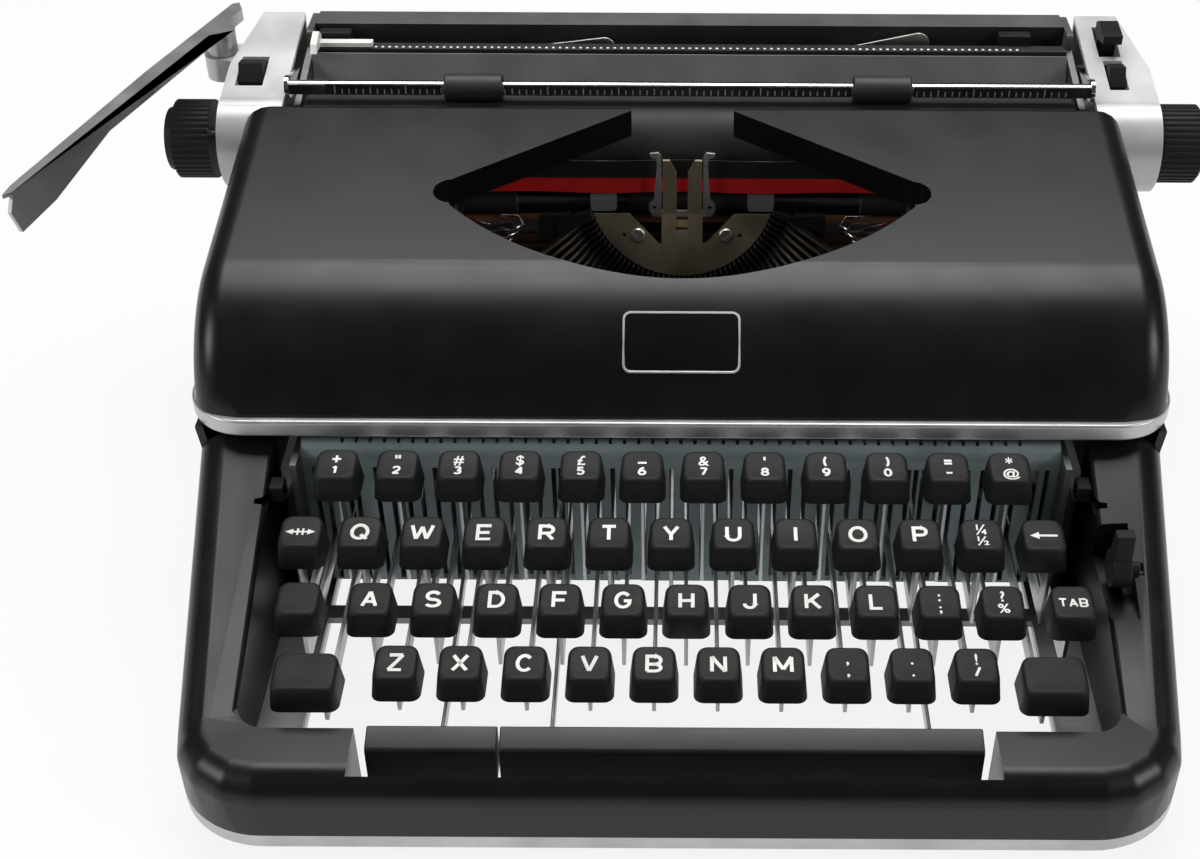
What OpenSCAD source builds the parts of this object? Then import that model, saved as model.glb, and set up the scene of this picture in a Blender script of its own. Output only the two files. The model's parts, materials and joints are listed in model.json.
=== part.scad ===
// Portable manual typewriter: base, housing, keyboard, type basket, ribbon cover and carriage.
// Millimetres. +X right, +Y back, +Z up. The origin is on the table, amid the four feet.

/* [Base] */
// Depth of the base rim
base_d = 294; // [292:1:298]
// Corner radius of the base rim in plan
base_corner = 28; // [24:1:30]
// Height of the base rim
rim_h = 6; // [5:0.5:8]
// Height of a rubber foot
foot_h = 5; // [4:0.5:7]
// Diameter of a rubber foot
foot_d = 18; // [14:1:20]
// Distance of the feet from the sides of the base
foot_inset = 20.5; // [19:0.5:22]

/* [Housing] */
// Wall thickness of the lower housing
housing_wall = 2.5; // [2:0.1:3]
// How far each side flares outwards from the base to the belt
side_flare = 6.5; // [5:0.5:7.5]
// Height of the housing's top edge above the base rim
housing_rise = 60.4; // [59:0.2:60.6]
// Height of the front rail above the base rim
front_rail_rise = 21.5; // [20:0.5:22.5]
// Depth of the front rail
front_rail_d = 22; // [21:0.5:23]
// Radius of the housing's rounded upper edge
housing_edge_r = 10; // [7:0.5:11]
// Width of the housing beside the keyboard well
arm_w = 18.5; // [17.5:0.5:19]

/* [Keyboard] */
// Pitch of the keys
key_pitch = 19; // [18.9:0.02:19.06]
// Distance between key rows
row_step = 19; // [18.5:0.1:19.2]
// Width of a key cap at its skirt
key_w = 14.6; // [13:0.1:15]
// Width of a key cap at its top
key_top_w = 12.9; // [11:0.1:13.2]
// Height of a key cap
key_h = 10; // [9:0.1:10.4]
// Slope of a key's top towards the typist in degrees
key_tilt = 7; // [3:0.5:9]
// Thickness of a key lever
lever_t = 1.2; // [1:0.05:1.3]
// Height of a key lever
lever_h = 6; // [5:0.1:6.4]
// Width of a shift key
shift_w = 20.5; // [19:0.1:21]
// Length of the space bar
space_w = 140; // [134:0.5:140.5]
// Length of the repeat bar
repeat_w = 38; // [34:0.5:38.5]

/* [Type basket] */
// Number of type bars
bar_count = 44; // [40:1:44]
// Angle between neighbouring type bars
bar_step = 3.2; // [3.1:0.02:3.22]
// Radius of the pivot arc in the type segment
pivot_r = 44; // [43:0.25:45]
// Thickness of a type bar
bar_t = 1; // [0.8:0.05:1.1]
// Radius of the type guide's round lower edge
guide_r = 34; // [32:0.5:36]
// Width of the ribbon
ribbon_h = 13; // [12:0.1:13]
// Diameter of a ribbon spool
spool_d = 42; // [38:0.5:44]

/* [Cover] */
// Wall thickness of the ribbon cover
cover_wall = 2.5; // [2:0.1:3]
// Depth of the turned-down rim round the window
window_rim = 10; // [6:0.5:11]
// Radius of the window's lower edge in plan
window_r = 104; // [100:0.5:108]
// Width of the gap between the two points at the back of the window
window_gap = 36; // [32:0.5:40]
// Height of the bright trim under the cover
trim_h = 6; // [5:0.1:7]

/* [Carriage] */
// Diameter of the platen
platen_d = 32; // [31:0.1:32.4]
// Length of the platen
platen_len = 278; // [270:0.5:279]
// Diameter of the platen's shaft
shaft_d = 8; // [7:0.1:9]
// Diameter of a platen knob
knob_d = 28.5; // [26:0.1:30]
// Length of a platen knob
knob_len = 15; // [13:0.5:16]
// Width of an end cover
end_cover_w = 23; // [21.5:0.5:24]
// Diameter of a feed roller
feed_d = 10; // [9:0.1:10.4]
// Diameter of a bail roller
bail_roller_d = 9.7; // [9:0.1:10.2]
// Length of the return lever from its pivot to its tip
return_len = 128; // [120:0.5:132]
// How far the carriage stands to the right of the middle
carriage_x = 2.5; // [1:0.1:4]

/* [Hidden] */
$fn = 64;

// Clearances
run_gap = 0.05;
slide_gap = 0.3;
part_gap = 0.4;

// Depth that welded pieces sink into each other
weld = 1;

// Width of the keyboard well, and of the base round it
well_room = 6.5;
well_half = 6.5 * key_pitch + well_room;
base_w = 2 * (well_half + arm_w);

// Heights and places of the base
rim_top = foot_h + rim_h;
ledge_h = 3;
rim_band = 8;
plate_t = 2.5;
deck = foot_h + ledge_h + plate_t;
base_front = -144;
base_back = base_front + base_d;
foot_x = base_w / 2 - foot_inset;
foot_front = base_front + 20;
foot_back = base_back - 26;
base_open_half = well_half - 14;
base_open_front = base_front + 7;
base_open_back = base_back - 38;
stud_d = 6;

// Middle of the platen, which the works are set round
platen_y = base_back - 50;
platen_z = rim_top + 93;

// Space bar and repeat bar
bar_back = -121.9;
bar_front = -130.3;
bar_low = rim_top + 9;
bar_high = rim_top + 23;
bar_gap = 0.7;
notch_gap = 4;
space_x = 18;
repeat_x = space_x - space_w / 2 - bar_gap - repeat_w / 2;
space_levers = [-38.5, 75.5];
repeat_lever = -71.5;
low_lever_z = rim_top + 5;
low_lever_h = 5;
low_lever_bend = -95;

// Housing
housing_top = rim_top + housing_rise;
front_top = rim_top + front_rail_rise;
well_front = base_front + front_rail_d;
arm_back = -28;
arm_top = housing_top - 2.4;
notch_left = repeat_x - repeat_w / 2 - notch_gap;
notch_right = space_x + space_w / 2 + notch_gap;
notch_front = base_front + 5;
pocket_front = -88;
pocket_back = -58;
pocket_floor = rim_top + 33;
pocket_d = 9;
ribbon_slider_y = -45;
touch_slider_y = -43;
stroke_y = (pocket_front + pocket_back) / 2;
stroke_z = pocket_floor + 8;

// Keyboard rows, counted from the back, and the levers below them
front_row_y = -106;
row_rise = [61.5, 50.5, 40.5, 33];
row_first = [-5.63, -5.15, -4.90, -4.40];
row_count = [12, 11, 11, 10];
single_row = 3;
single_key = 5;
lever_z = rim_top + 18;
lever_low = lever_z - lever_h / 2;
lever_top = lever_z + lever_h / 2;
fulcrum_y = platen_y + 5;
fulcrum_r = 2.5;
hub_r = 5;
post_w = 6;
tongue_h = 4;
cap_corner = 3;
dish_r = 30;
dish_depth = 0.9;
shift_left_x = -(well_half - 25.5);
shift_right_x = well_half - 22.5;
inner_lever_x = well_half - 16;
outer_lever_x = well_half - 12.5;
function_d = 15.5;
shift_cap_x = well_half - 20.2;
lock_cap_x = well_half - 15.2;
margin_cap_x = well_half - 14;
backspace_cap_x = well_half - 19.1;
tab_cap_x = well_half - 12;
shift_forward = 4;

// Chassis
frame_half = well_half - 9;
plate_w = 2;
comb_y = -35;
comb_t = 2;
comb_bend = 6;
comb_flange = 4;
comb_slot_h = 48;
notch_pitch = 4.5;
notch_w = 1.1;
notch_in = 1.6;
notch_d = 2.2;
cross_strip_y = comb_y - 19;
cross_strip_d = 6;
comb_top = rim_top + 58;
rail_low = rim_top + 56;
rail_h = 7;
rail_top = rail_low + rail_h;
rail_w = 5.5;
front_rail_y = platen_y - 15.5;
rear_rail_y = platen_y + 30;
rail_half = frame_half + 17;
slot_w = lever_t + 0.4;
seat_bar_y = platen_y - 36;
seat_bar_d = 12;
seat_bar_top = rim_top + 37;
seat_bar_h = 8;
drum_x = -frame_half + 26;
drum_z = rim_top + 31;
drum_y = platen_y + 14;
drum_w = 12;
drum_r = 18;
drum_pin_r = 3;
rear_plate_y = platen_y + 39.5;

// Platen and type basket
platen_r = platen_d / 2;
arc_y = platen_y - 18.2;
arc_z = platen_z - 7;
arc_tilt = 70;
segment_t = 9;
segment_back = -2;
segment_in = guide_r + 0.4;
segment_out = pivot_r + 4;
segment_half = 74;
ledge_half = 58;
ledge_w = 4.4;
ear_block_w = 11;
ear_block_step = 0.4;
slot_floor = 1.3;
middle_bar = 21;
wire_r = 0.8;
bar_slack = 0.2;
wire_lead = 5;
bar_len = 52;
bar_rest = 115;
bar_root_h = 5;
bar_tip_h = 3.2;
slug_len = 5;
slug_h = 4;
slug_w = 2.6;
guide_t = 1.2;
guide_top = 11.2;
guide_half = 7;
guide_back = arc_y - 3.7;
guide_high = platen_z + 4.5;
ribbon_y = platen_y - 17.9;
ribbon_t = 0.3;
ribbon_low = platen_z - 11.2;
post_x = frame_half - 38;
guide_post_r = 1.5;
ear_low = platen_z - 19.2;
ear_t = 0.9;
ear_in = guide_half + 0.5;
ear_out = 12;
spool_x = frame_half - 11;
spool_y = platen_y - 52;
spool_deck = platen_z - 17.5;
spool_plate_t = 2;
spool_plate_in = frame_half - 41;
spindle_r = 3;
pack_r = 16;
spool_h = 20.9;

// Ribbon cover
trim_low = housing_top + 0.6;
trim_top = trim_low + trim_h;
cover_half = base_w / 2 + side_flare;
cover_front = -33.5;
cover_back = platen_y - 18;
roof_back = platen_y - 15.5;
wall_cut_z = platen_z + 13.5;
cover_corner = 17;
trim_reach = 2.5;
trim_wall = 5;
shoulder_y = 13.6;
shoulder_z = trim_top - 11;
shoulder_r = 47.5;
side_round = 10;
crown_half = cover_half - side_round;
cover_back_z = platen_z + 22;
cover_edge_r = 2;
hinge_y = platen_y - 23;
hinge_z = platen_z + 14.2;
hinge_pin_r = 1.5;
hinge_lug_r = 3;
roof_drop = 4.7;
roof_slope = 0.155;
hinge_lug_t = 2.5;
window_low = -3.5;
window_tip_x = 77;
window_tip_r = 5.9;
window_point_y = roof_back;

// Carriage, measured from its own middle
frame_in = platen_len / 2 + 1.5;
end_plate_t = 2.5;
frame_out = frame_in + end_plate_t;
end_in = frame_out + 3;
end_out = end_in + end_cover_w;
end_rear_out = end_out - 7.5;
end_wall = 2;
shaft_left = end_out + 8;
shaft_right = end_out + 6;
bulge_r = platen_r + 1.5;
end_back = platen_y + 50;
end_bend_y = platen_y + 18;
end_back_z = platen_z + 27;
end_low = platen_z - 17;
runner_low = rail_top + slide_gap;
runner_h = 4.7;
feed_r = feed_d / 2;
feed_reach = platen_r + feed_r + slide_gap;
feed_angle = 30;
feed_shaft_r = 2;
table_r = platen_r + 1.2;
table_t = 1.2;
table_angle = 70;
table_top_z = platen_z + 22;
margin_y = platen_y + 28.5;
margin_d = 5;
margin_low = platen_z + 18.5;
margin_h = 4;
tooth_pitch = 4;
rear_top = platen_z + 27.5;
rear_front = platen_y + 39;
rear_wall = 1.5;
trough_z = platen_z + 14.5;
rear_half = frame_in - 0.2;
stop_w = 12;
support_y = platen_y + 36;
support_t = 1;
support_z = platen_z + 17.5;
support_len = 28;
support_pin_r = 1.5;
support_left_x = -60;
support_right_x = 58;
bail_z = platen_z + platen_r + bail_roller_d / 2 + slide_gap;
bail_r = 2.4;
bail_pivot_y = platen_y + 30;
bail_pivot_z = platen_z + 12;
bail_pin_r = 1.5;
bail_arm_in = frame_out + 0.5;
bail_arm_t = 1.5;
bail_roller_x = [-77.5, 69];
bail_roller_len = 21;
strip_y = platen_y - bail_r - 0.5;
strip_t = 1;
strip_low = bail_z - 1.7;
strip_h = 3.9;
strip_gap = bail_roller_len / 2 + 0.6;
strip_ends = [-bail_arm_in - 0.5, bail_roller_x[0] - strip_gap, bail_roller_x[0] + strip_gap,
  bail_roller_x[1] - strip_gap, bail_roller_x[1] + strip_gap, bail_arm_in + 0.5];
lever_pivot_x = -end_out - 5;
lever_pivot_y = platen_y + 30;
lever_pivot_z = platen_z + 20;
lever_hub_h = 8.5;
lever_offset = 4.5;
lever_pin_r = 2.5;
lever_azimuth = 252;
tab_pivot_y = platen_y + 14;
tab_pivot_z = platen_z + 4;
tab_pin_r = 1.5;
release_pivot_y = platen_y + 36;
release_pivot_z = platen_z + 12;
tab_left_x = -end_in - 14;
tab_right_x = end_in + 10;
release_x = end_in + 9.5;

// Places that follow a rule
function row_y(r) = front_row_y + (4 - r) * row_step;
function row_top(r) = rim_top + row_rise[r - 1];
function key_x(r, i) = (row_first[r - 1] + i) * key_pitch;
function row_keys(r) = [for (i = [0:row_count[r - 1] - 1]) if (r != single_row || i != single_key) i];
function typing_x() = [for (r = [1:4], i = [0:row_count[r - 1] - 1]) key_x(r, i)];
function guard_x() = [shift_left_x, shift_right_x, -inner_lever_x, inner_lever_x, -outer_lever_x, outer_lever_x];
function comb_x() = concat(typing_x(), guard_x(), space_levers, [repeat_lever]);

// Shared shapes
module span_x(x0, x1) {
  translate([x0, 0, 0]) rotate([90, 0, 90]) linear_extrude(x1 - x0) children();
}

module rod_x(x0, x1, y, z, r) {
  translate([x0, y, z]) rotate([0, 90, 0]) cylinder(h = x1 - x0, r = r);
}

module rounded_plan(half, y0, y1, r) {
  translate([-half + r, y0]) square([2 * half - 2 * r, y1 - y0]);
  translate([-half, y0 + r]) square([2 * half, y1 - y0 - 2 * r]);
  for (x = [-half + r, half - r], y = [y0 + r, y1 - r]) translate([x, y]) circle(r);
}

module on_carriage() {
  translate([carriage_x, 0, 0]) children();
}

module in_arc() {
  translate([0, arc_y, arc_z]) rotate([arc_tilt, 0, 0]) children();
}

// Base
module base_opening() {
  difference() {
    translate([-base_open_half, base_open_front])
      square([2 * base_open_half, base_open_back - base_open_front]);
    translate([-base_open_half, cross_strip_y]) square([2 * base_open_half, cross_strip_d]);
  }
}

module rim_opening() {
  translate([-base_open_half, base_open_front])
    square([2 * base_open_half, base_open_back - base_open_front]);
}

module base_rim() color("silver") {
  difference() {
    union() {
      translate([0, 0, foot_h]) linear_extrude(1.5)
        rounded_plan(base_w / 2 - 1, base_front + 1, base_back - 1, base_corner - 1);
      translate([0, 0, foot_h + 1.5]) linear_extrude(rim_h - 1.5)
        rounded_plan(base_w / 2, base_front, base_back, base_corner);
    }
    translate([0, 0, foot_h + ledge_h]) linear_extrude(rim_h)
      rounded_plan(base_w / 2 - rim_band, base_front + rim_band - 1.5, base_back - rim_band, base_corner - rim_band);
    translate([0, 0, foot_h - 1]) linear_extrude(rim_h + 2) rim_opening();
    for (x = [-foot_x, foot_x], y = [foot_front, foot_back])
      translate([x, y, foot_h - 1]) cylinder(h = rim_h, d = stud_d + 2 * run_gap);
  }
}

module rubber_feet() color("black") {
  for (x = [-foot_x, foot_x], y = [foot_front, foot_back]) translate([x, y, 0])
    rotate_extrude() polygon([[0, 0], [foot_d / 2 - 1.5, 0], [foot_d / 2, 1.5], [foot_d / 2, foot_h],
      [stud_d / 2, foot_h], [stud_d / 2, foot_h + ledge_h], [0, foot_h + ledge_h]]);
}

// Lower housing
module front_rail_form(inset) {
  hull() {
    for (side = [-1, 1], a = [0:22.5:90])
      translate([side * (base_w / 2 - base_corner + (base_corner - housing_edge_r) * cos(a)),
        base_front + base_corner - (base_corner - housing_edge_r) * sin(a), front_top - housing_edge_r])
        sphere(housing_edge_r - inset, $fn = 32);
    translate([0, 0, rim_top - (inset > 0 ? 1 : 0)]) linear_extrude(1) intersection() {
      rounded_plan(base_w / 2 - inset, base_front + inset, base_back, base_corner - inset, $fn = 48);
      translate([-base_w, base_front]) square([2 * base_w, base_corner]);
    }
  }
}

module arm_form(side, inset) {
  front_y = base_front + base_corner;
  outer_x = base_w / 2 - housing_edge_r;
  inner_x = well_half + 2;
  hull() {
    translate([side * outer_x, front_y, front_top - housing_edge_r]) sphere(housing_edge_r - inset, $fn = 32);
    translate([side * (outer_x + side_flare), arm_back, arm_top - housing_edge_r])
      sphere(housing_edge_r - inset, $fn = 32);
    translate([side * (inner_x + inset), front_y, front_top - 2 - inset]) sphere(2, $fn = 16);
    translate([side * (inner_x + inset), arm_back, arm_top - 2 - inset]) sphere(2, $fn = 16);
    translate([side > 0 ? well_half + inset : -base_w / 2 + inset, front_y, rim_top - (inset > 0 ? 1 : 0)])
      cube([arm_w - 2 * inset, arm_back - front_y, 1]);
  }
}

module rear_form(inset) {
  hull() {
    translate([0, 0, rim_top - (inset > 0 ? 1 : 0)]) linear_extrude(1)
      rounded_plan(base_w / 2 - inset, arm_back - 2, base_back - inset, base_corner - inset, $fn = 48);
    translate([0, 0, housing_top - (inset > 0 ? 0 : 1)]) linear_extrude(1)
      rounded_plan(base_w / 2 + side_flare - inset, arm_back - 2, base_back - inset, base_corner - inset, $fn = 48);
  }
  hull() {
    translate([-base_w / 2 + inset, arm_back - 2, rim_top - (inset > 0 ? 1 : 0)])
      cube([base_w - 2 * inset, base_corner * 2, 1]);
    translate([-base_w / 2 - side_flare + inset, arm_back - 2, housing_top - (inset > 0 ? 0 : 1)])
      cube([base_w + 2 * side_flare - 2 * inset, base_corner * 2, 1]);
  }
}

module housing_form(inset) {
  front_rail_form(inset);
  arm_form(-1, inset);
  arm_form(1, inset);
  rear_form(inset);
}

module well_block(grow) {
  translate([0, 0, rim_top - 2]) linear_extrude(housing_rise + 10) {
    rounded_plan(well_half + grow, well_front - grow, 10, 9, $fn = 48);
    translate([notch_left - grow, notch_front - grow])
      square([notch_right - notch_left + 2 * grow, well_front - notch_front + 20]);
  }
}

module pocket_block(grow) {
  translate([well_half - 5, pocket_front - grow, pocket_floor - grow])
    cube([pocket_d + 5 + grow, pocket_back - pocket_front + 2 * grow, housing_rise]);
}

module lower_housing() color([0.06, 0.06, 0.06]) {
  difference() {
    housing_form(0);
    difference() {
      housing_form(housing_wall);
      intersection() {
        well_block(housing_wall);
        translate([-base_w, base_front - 1, 0]) cube([2 * base_w, arm_back - base_front - 1, housing_top + 20]);
      }
      pocket_block(housing_wall);
    }
    well_block(0);
    pocket_block(0);
    for (side = [-1, 1]) translate([side > 0 ? well_half - 1 : -well_half - housing_wall - 1, -53, rim_top + 45])
      cube([housing_wall + 2, 18, 3.6]);
    translate([well_half + pocket_d - 1, stroke_y, stroke_z]) rotate([0, 90, 0]) cylinder(h = 4, r = 2.3, $fn = 24);
  }
}

// Chassis: side plates, base plate, rear plate, cross bar, rod, spool plates and pins
module side_plate_outline() {
  difference() {
    union() {
      translate([comb_y - 9, deck - weld]) square([rear_plate_y + plate_w - comb_y + 9, rail_low - deck + weld]);
      translate([spool_y - 18, deck]) square([36, spool_deck - weld - deck]);
      translate([hinge_y - hinge_lug_r + 0.3, deck]) square([2 * hinge_lug_r - 0.6, hinge_z - deck]);
      translate([hinge_y, hinge_z]) circle(hinge_lug_r);
    }
    for (y = [0, 34, 122]) translate([y, rim_top + 28]) circle(12);
  }
}

module chassis_frame() color([0.35, 0.36, 0.37]) {
  for (x = [-frame_half - plate_w, frame_half]) span_x(x, x + plate_w) side_plate_outline();
  translate([0, 0, foot_h + ledge_h]) linear_extrude(plate_t) difference() {
    rounded_plan(base_w / 2 - rim_band - 0.2, base_front + rim_band - 1.3, base_back - rim_band - 0.2,
      base_corner - rim_band - 0.2);
    base_opening();
  }
  translate([-frame_half - weld, rear_plate_y, deck - weld])
    cube([2 * frame_half + 2 * weld, plate_w, rail_low - 6 - deck]);
  translate([-frame_half - weld, seat_bar_y, seat_bar_top - seat_bar_h])
    cube([2 * frame_half + 2 * weld, seat_bar_d, seat_bar_h]);
  rod_x(-frame_half - weld, frame_half + weld, fulcrum_y, lever_z, fulcrum_r);
  translate([drum_x, drum_y - 1, drum_z]) rotate([-90, 0, 0])
    cylinder(h = rear_plate_y - drum_y + 1 + weld, r = drum_pin_r);
  for (side = [0, 1]) mirror([side, 0, 0]) {
    translate([spool_plate_in, spool_y - 18, spool_deck - spool_plate_t])
      cube([frame_half + weld - spool_plate_in, ribbon_y + 0.4 - spool_y + 18, spool_plate_t]);
    translate([spool_x, spool_y, spool_deck - weld]) cylinder(h = spool_h + 2.5 + weld, r = spindle_r);
    translate([post_x, ribbon_y - guide_post_r - ribbon_t, spool_deck - weld])
      cylinder(h = spool_h + weld, r = guide_post_r);
    rod_x(frame_half - hinge_lug_t - 1, frame_half + weld, hinge_y, hinge_z, hinge_pin_r);
  }
}

// Outline of the bent comb plate, front to back and upwards
module comb_outline() {
  front = comb_y - comb_t / 2;
  bend_z = comb_top - comb_bend;
  translate([front, deck + 1]) square([comb_t, bend_z - deck - 1]);
  translate([front + comb_bend, bend_z]) intersection() {
    difference() {
      circle(comb_bend);
      circle(comb_bend - comb_t);
    }
    translate([-comb_bend, 0]) square(comb_bend);
  }
  translate([front + comb_bend, comb_top - comb_t]) square([comb_flange, comb_t]);
}

module key_comb() color([0.32, 0.38, 0.38]) {
  notches = 2 * floor((frame_half - 10) / notch_pitch);
  difference() {
    span_x(-frame_half, frame_half) comb_outline();
    for (x = comb_x()) translate([x - slot_w / 2, comb_y - comb_t, rim_top + 1])
      cube([slot_w, 2 * comb_t, comb_slot_h]);
    for (i = [0:notches])
      translate([(i - notches / 2) * notch_pitch - notch_w / 2, comb_y + notch_in, comb_top - comb_bend])
        cube([notch_w, notch_d, comb_bend + 1]);
  }
}

// Keys
module lever_plate(x, cap_y, seat) {
  span_x(x - lever_t / 2, x + lever_t / 2) difference() {
    union() {
      polygon([[fulcrum_y, lever_low], [cap_y - post_w / 2, lever_low], [cap_y - post_w / 2, seat + tongue_h],
        [cap_y + post_w / 2, seat + tongue_h], [cap_y + post_w / 2, lever_top], [fulcrum_y, lever_top]]);
      translate([fulcrum_y, lever_z]) circle(hub_r);
    }
    translate([fulcrum_y, lever_z]) circle(fulcrum_r + run_gap);
  }
}

module cap_body(w, d) {
  taper = (key_w - key_top_w) / 2;
  rise = tan(key_tilt) * d / 2;
  difference() {
    intersection() {
      span_x(-w / 2, w / 2) polygon([[-d / 2, 0], [d / 2, 0], [d / 2 - taper, key_h + rise],
        [-d / 2 + taper, key_h - rise]]);
      translate([0, d / 2, 0]) rotate([90, 0, 0]) linear_extrude(d)
        polygon([[-w / 2, 0], [w / 2, 0], [w / 2 - taper, key_h + rise], [-w / 2 + taper, key_h + rise]]);
      linear_extrude(key_h + rise) rounded_plan(w / 2, -d / 2, d / 2, cap_corner);
    }
    translate([0, -sin(key_tilt) * (dish_r - dish_depth), key_h + cos(key_tilt) * (dish_r - dish_depth)])
      rotate([0, 90, 0]) cylinder(h = w + 2, r = dish_r, center = true);
  }
}

module key_cap(x, y, top) {
  translate([x, y, top - key_h]) difference() {
    cap_body(key_w, key_w);
    translate([-slot_w / 2, -post_w / 2 - 0.2, -1]) cube([slot_w, post_w + 0.4, tongue_h + 1.2]);
  }
}

module row_levers(r) color([0.72, 0.73, 0.74]) {
  for (i = row_keys(r)) lever_plate(key_x(r, i), row_y(r), row_top(r) - key_h);
}

module row_caps(r) color([0.08, 0.08, 0.08]) {
  for (i = row_keys(r)) key_cap(key_x(r, i), row_y(r), row_top(r));
}

module key_levers_row_1() row_levers(1);
module key_levers_row_2() row_levers(2);
module key_levers_row_3() row_levers(3);
module key_levers_row_4() row_levers(4);
module key_caps_row_1() row_caps(1);
module key_caps_row_2() row_caps(2);
module key_caps_row_3() row_caps(3);
module key_caps_row_4() row_caps(4);

// A key whose cap is moulded on its lever
module moulded_key(x, y, top, lever_x, w, d) color([0.08, 0.08, 0.08]) {
  translate([x, y, top - key_h]) cap_body(w, d);
  lever_plate(lever_x, y, top - key_h);
}

module key_h() moulded_key(key_x(single_row, single_key), row_y(single_row), row_top(single_row),
  key_x(single_row, single_key), key_w, key_w);
module shift_key_left()
  moulded_key(-shift_cap_x, front_row_y - shift_forward, row_top(4), shift_left_x, shift_w, function_d);
module shift_key_right()
  moulded_key(shift_cap_x, front_row_y - shift_forward, row_top(4), shift_right_x, shift_w, function_d);
module shift_lock_key() moulded_key(-lock_cap_x, row_y(3), row_top(3), -inner_lever_x, key_w, key_w);
module margin_release_key() moulded_key(-margin_cap_x, row_y(2), row_top(2), -outer_lever_x, key_w, key_w);
module backspace_key() moulded_key(backspace_cap_x, row_y(2), row_top(2), inner_lever_x, key_w, key_w);
module tab_key() moulded_key(tab_cap_x, row_y(3), row_top(3), outer_lever_x, key_w, key_w);

module low_lever(x) {
  span_x(x - lever_t / 2, x + lever_t / 2) difference() {
    union() {
      polygon([[bar_front + 2, low_lever_z - low_lever_h / 2], [low_lever_bend, low_lever_z - low_lever_h / 2],
        [fulcrum_y, lever_low], [fulcrum_y, lever_top], [low_lever_bend, low_lever_z + low_lever_h / 2],
        [bar_back - 1, low_lever_z + low_lever_h / 2], [bar_back - 1, bar_low + 2], [bar_front + 2, bar_low + 2]]);
      translate([fulcrum_y, lever_z]) circle(hub_r);
    }
    translate([fulcrum_y, lever_z]) circle(fulcrum_r + run_gap);
  }
}

module bar_body(x, w) {
  span_x(x - w / 2, x + w / 2) polygon([[bar_front, bar_low], [bar_back, bar_low], [bar_back, bar_high - 0.6],
    [bar_back - 0.6, bar_high], [bar_front + 1.4, bar_high - 1.8], [bar_front + 0.4, bar_high - 3]]);
}

module space_bar() color([0.08, 0.08, 0.08]) {
  bar_body(space_x, space_w);
  for (x = space_levers) low_lever(x);
}

module repeat_bar() color([0.08, 0.08, 0.08]) {
  bar_body(repeat_x, repeat_w);
  low_lever(repeat_lever);
}

// Type basket
module arc_sweep(half) {
  rotate([0, 0, 270 - half]) rotate_extrude(angle = 2 * half) children();
}

module type_segment() color([0.1, 0.1, 0.1]) {
  in_arc() difference() {
    union() {
      arc_sweep(segment_half) translate([segment_in, segment_back]) square([segment_out - segment_in, segment_t]);
      arc_sweep(ledge_half) translate([segment_in - ledge_w, segment_back]) square([ledge_w + weld, -segment_back]);
      for (side = [-1, 1])
        translate([side * (pivot_r + 2) - ear_block_w / 2, -guide_top - 9, segment_back + ear_block_step])
        cube([ear_block_w, 9.4, segment_t - 2 * ear_block_step]);
    }
    for (i = [0:bar_count - 1]) rotate([0, 0, (i - middle_bar) * bar_step])
      translate([-bar_t / 2 - bar_slack, -segment_out - 8, segment_back + slot_floor])
        cube([bar_t + 2 * bar_slack, segment_out - segment_in + 9, segment_t]);
  }
  in_arc() for (i = [0:bar_count - 1]) rotate([0, 0, (i - middle_bar) * bar_step])
    translate([0, -pivot_r, wire_lead]) rotate([0, 90, 0])
      cylinder(h = bar_t + 2 * bar_slack + 0.8, r = wire_r, center = true);
  translate([-18, seat_bar_y + 0.5, seat_bar_top]) cube([36, 6, 4.5]);
}

module type_bar(angle) {
  in_arc() rotate([0, 0, angle]) translate([0, -pivot_r, wire_lead]) rotate([bar_rest, 0, 0]) {
    span_x(-bar_t / 2, bar_t / 2) difference() {
      polygon([[-4, -bar_root_h / 2], [bar_len, -bar_tip_h / 2], [bar_len, bar_tip_h / 2], [-4, bar_root_h / 2]]);
      circle(wire_r + run_gap);
    }
    translate([-slug_w / 2, bar_len - slug_len, -bar_tip_h / 2 - slug_h]) cube([slug_w, slug_len, slug_h]);
  }
}

module type_bars() color([0.5, 0.5, 0.5]) {
  for (i = [0:bar_count - 1]) if (i != middle_bar) type_bar((i - middle_bar) * bar_step);
}

module type_bar_h() color([0.6, 0.6, 0.6]) type_bar(0);

module type_guide() color([0.42, 0.36, 0.27]) {
  in_arc() linear_extrude(guide_t) difference() {
    intersection() {
      circle(guide_r);
      translate([-guide_r, -guide_r]) square([2 * guide_r, guide_r - guide_top]);
    }
    for (side = [-1, 1]) {
      polygon([[side * (guide_half + 0.4), -guide_top + 1], [side * (guide_half + 13), -guide_top + 1],
        [side * (guide_half + 1.5), -guide_top - 11], [side * (guide_half + 0.4), -guide_top - 11]]);
      translate([side * 16, -19]) circle(1.7);
      translate([side * 21, -19]) circle(0.8);
    }
    translate([-slug_w / 2 - 0.9, -guide_top - 6]) square([slug_w + 1.8, 10]);
  }
  translate([0, guide_back, 0]) rotate([90, 0, 0]) linear_extrude(guide_t)
    polygon([[-guide_half, arc_z - guide_top - 6], [guide_half, arc_z - guide_top - 6], [guide_half, guide_high],
      [guide_half - 2.5, guide_high], [slug_w / 2 + 0.7, guide_high - 5], [slug_w / 2 + 0.7, arc_z - guide_top - 2],
      [-slug_w / 2 - 0.7, arc_z - guide_top - 2], [-slug_w / 2 - 0.7, guide_high - 5], [-guide_half + 2.5, guide_high],
      [-guide_half, guide_high]]);
}

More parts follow.
